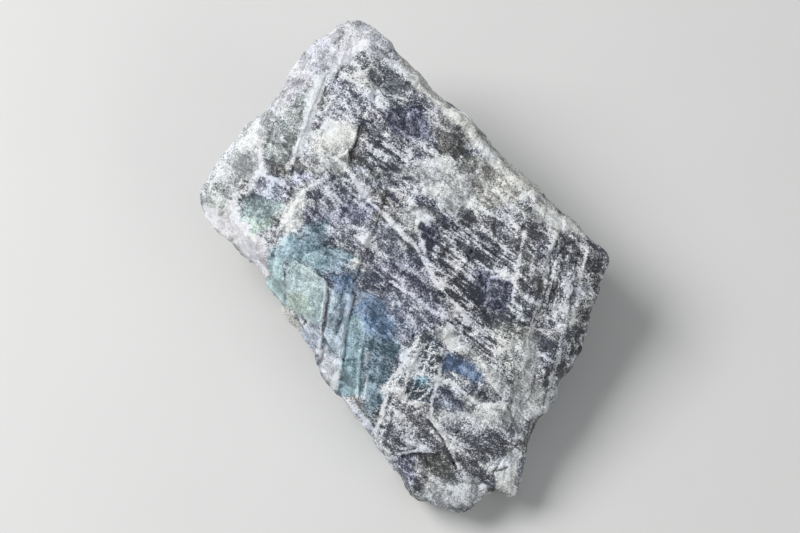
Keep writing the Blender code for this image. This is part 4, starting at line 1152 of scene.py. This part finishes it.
class LARVIKITE_OT_stone(bpy.types.Operator):
    """Break the solid's surface into ledges, cleavage sheets and grains, and paint where each look lies"""

    bl_idname = "larvikite.stone"
    bl_label = "Broken Stone"
    bl_options = {"REGISTER", "UNDO"}

    def execute(self, context):
        form = settings().form
        stone = copied_solid()
        refine(stone, form)
        skin = Skin(stone)
        paint = painted(skin)
        paint["vein"] = line_strength(skin, VEINS, VEIN_SHIFT)
        # Painted shadows beside the steps.
        paint["gap_shadow"] = line_strength(skin, GAP_SHADOWS, GAP_SHADOW_SHIFT)
        foot = smooth_step(*FOOT_BAND, skin.co[:, 2])
        height = relief(skin, paint, form) * foot
        skin.co += skin.normal * height[:, None]
        paint["lip"] = sharpen_ledges(skin, form.ledge_depth)
        skin.co[:, 2] = skin.co[:, 2].clip(0.0)
        skin.write(stone)
        # Proud edges get more frost as wear, and hollows less, as painted shade.
        proud = standing_out(stone, Skin(stone), EDGE_ROUNDS)
        paint["edge_wear_hollow_shade"] = (proud / EDGE_HEIGHT).clip(-1.0, 1.0)
        for name, values in paint.items():
            store(stone, name, values)
        make_active(stone)
        bpy.ops.object.shade_smooth_by_angle(angle=math.radians(CREASE_DEG))
        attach(stone, BODY)
        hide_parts(SOLID)
        return {"FINISHED"}


class LARVIKITE_OT_finish(bpy.types.Operator):
    """Give the broken stone its feldspar material"""

    bl_idname = "larvikite.finish"
    bl_label = "Feldspar Finish"
    bl_options = {"REGISTER", "UNDO"}

    def execute(self, context):
        stone = bpy.data.objects[STONE]
        stone.data.materials.append(stone_material(settings().look))
        return {"FINISHED"}


class LARVIKITE_OT_stage(bpy.types.Operator):
    """Add the pale floor, the soft lights and the camera"""

    bl_idname = "larvikite.stage"
    bl_label = "Floor, Lights and Camera"
    bl_options = {"REGISTER", "UNDO"}

    def execute(self, context):
        stage = settings().stage
        deselect_all()
        bpy.ops.mesh.primitive_plane_add(size=stage.floor_size, location=(0.0, 0.0, -FLOOR_DROP * MM))
        floor = context.active_object
        floor.name = "floor"
        floor.data.materials.append(floor_material(stage))
        area_light("key", *KEY, stage.key_power)
        area_light("fill", *FILL, stage.fill_power)
        world = bpy.data.worlds.new("room")
        world.use_nodes = True
        background = world.node_tree.nodes["Background"]
        background.inputs["Color"].default_value = ROOM_COLOUR
        background.inputs["Strength"].default_value = stage.sky
        context.scene.world = world
        context.scene.view_settings.view_transform = "Standard"
        add_camera(stage)
        return {"FINISHED"}


class LARVIKITE_PT_panel(bpy.types.Panel):
    bl_idname = "LARVIKITE_PT_panel"
    bl_label = "Raw Larvikite Block"
    bl_space_type = "VIEW_3D"
    bl_region_type = "UI"
    bl_category = "Larvikite"

    def draw(self, context):
        layout = self.layout
        chosen = context.scene.larvikite
        for group, operator in ((chosen.form, "larvikite.stone"), (chosen.look, "larvikite.finish"),
                                (chosen.stage, "larvikite.stage")):
            box = layout.box()
            for name in group.__annotations__:
                box.prop(group, name)
            box.operator(operator)


CLASSES = (
    LARVIKITE_PG_form,
    LARVIKITE_PG_look,
    LARVIKITE_PG_stage,
    LARVIKITE_PG_block,
    LARVIKITE_OT_stone,
    LARVIKITE_OT_finish,
    LARVIKITE_OT_stage,
    LARVIKITE_PT_panel,
)


def register():
    for cls in CLASSES:
        bpy.utils.register_class(cls)
    bpy.types.Scene.larvikite = PointerProperty(type=LARVIKITE_PG_block)


def unregister():
    del bpy.types.Scene.larvikite
    for cls in reversed(CLASSES):
        bpy.utils.unregister_class(cls)


def main():
    register()
    bpy.ops.larvikite.stone()
    bpy.ops.larvikite.finish()
    bpy.ops.larvikite.stage()


if __name__ == "__main__":
    main()
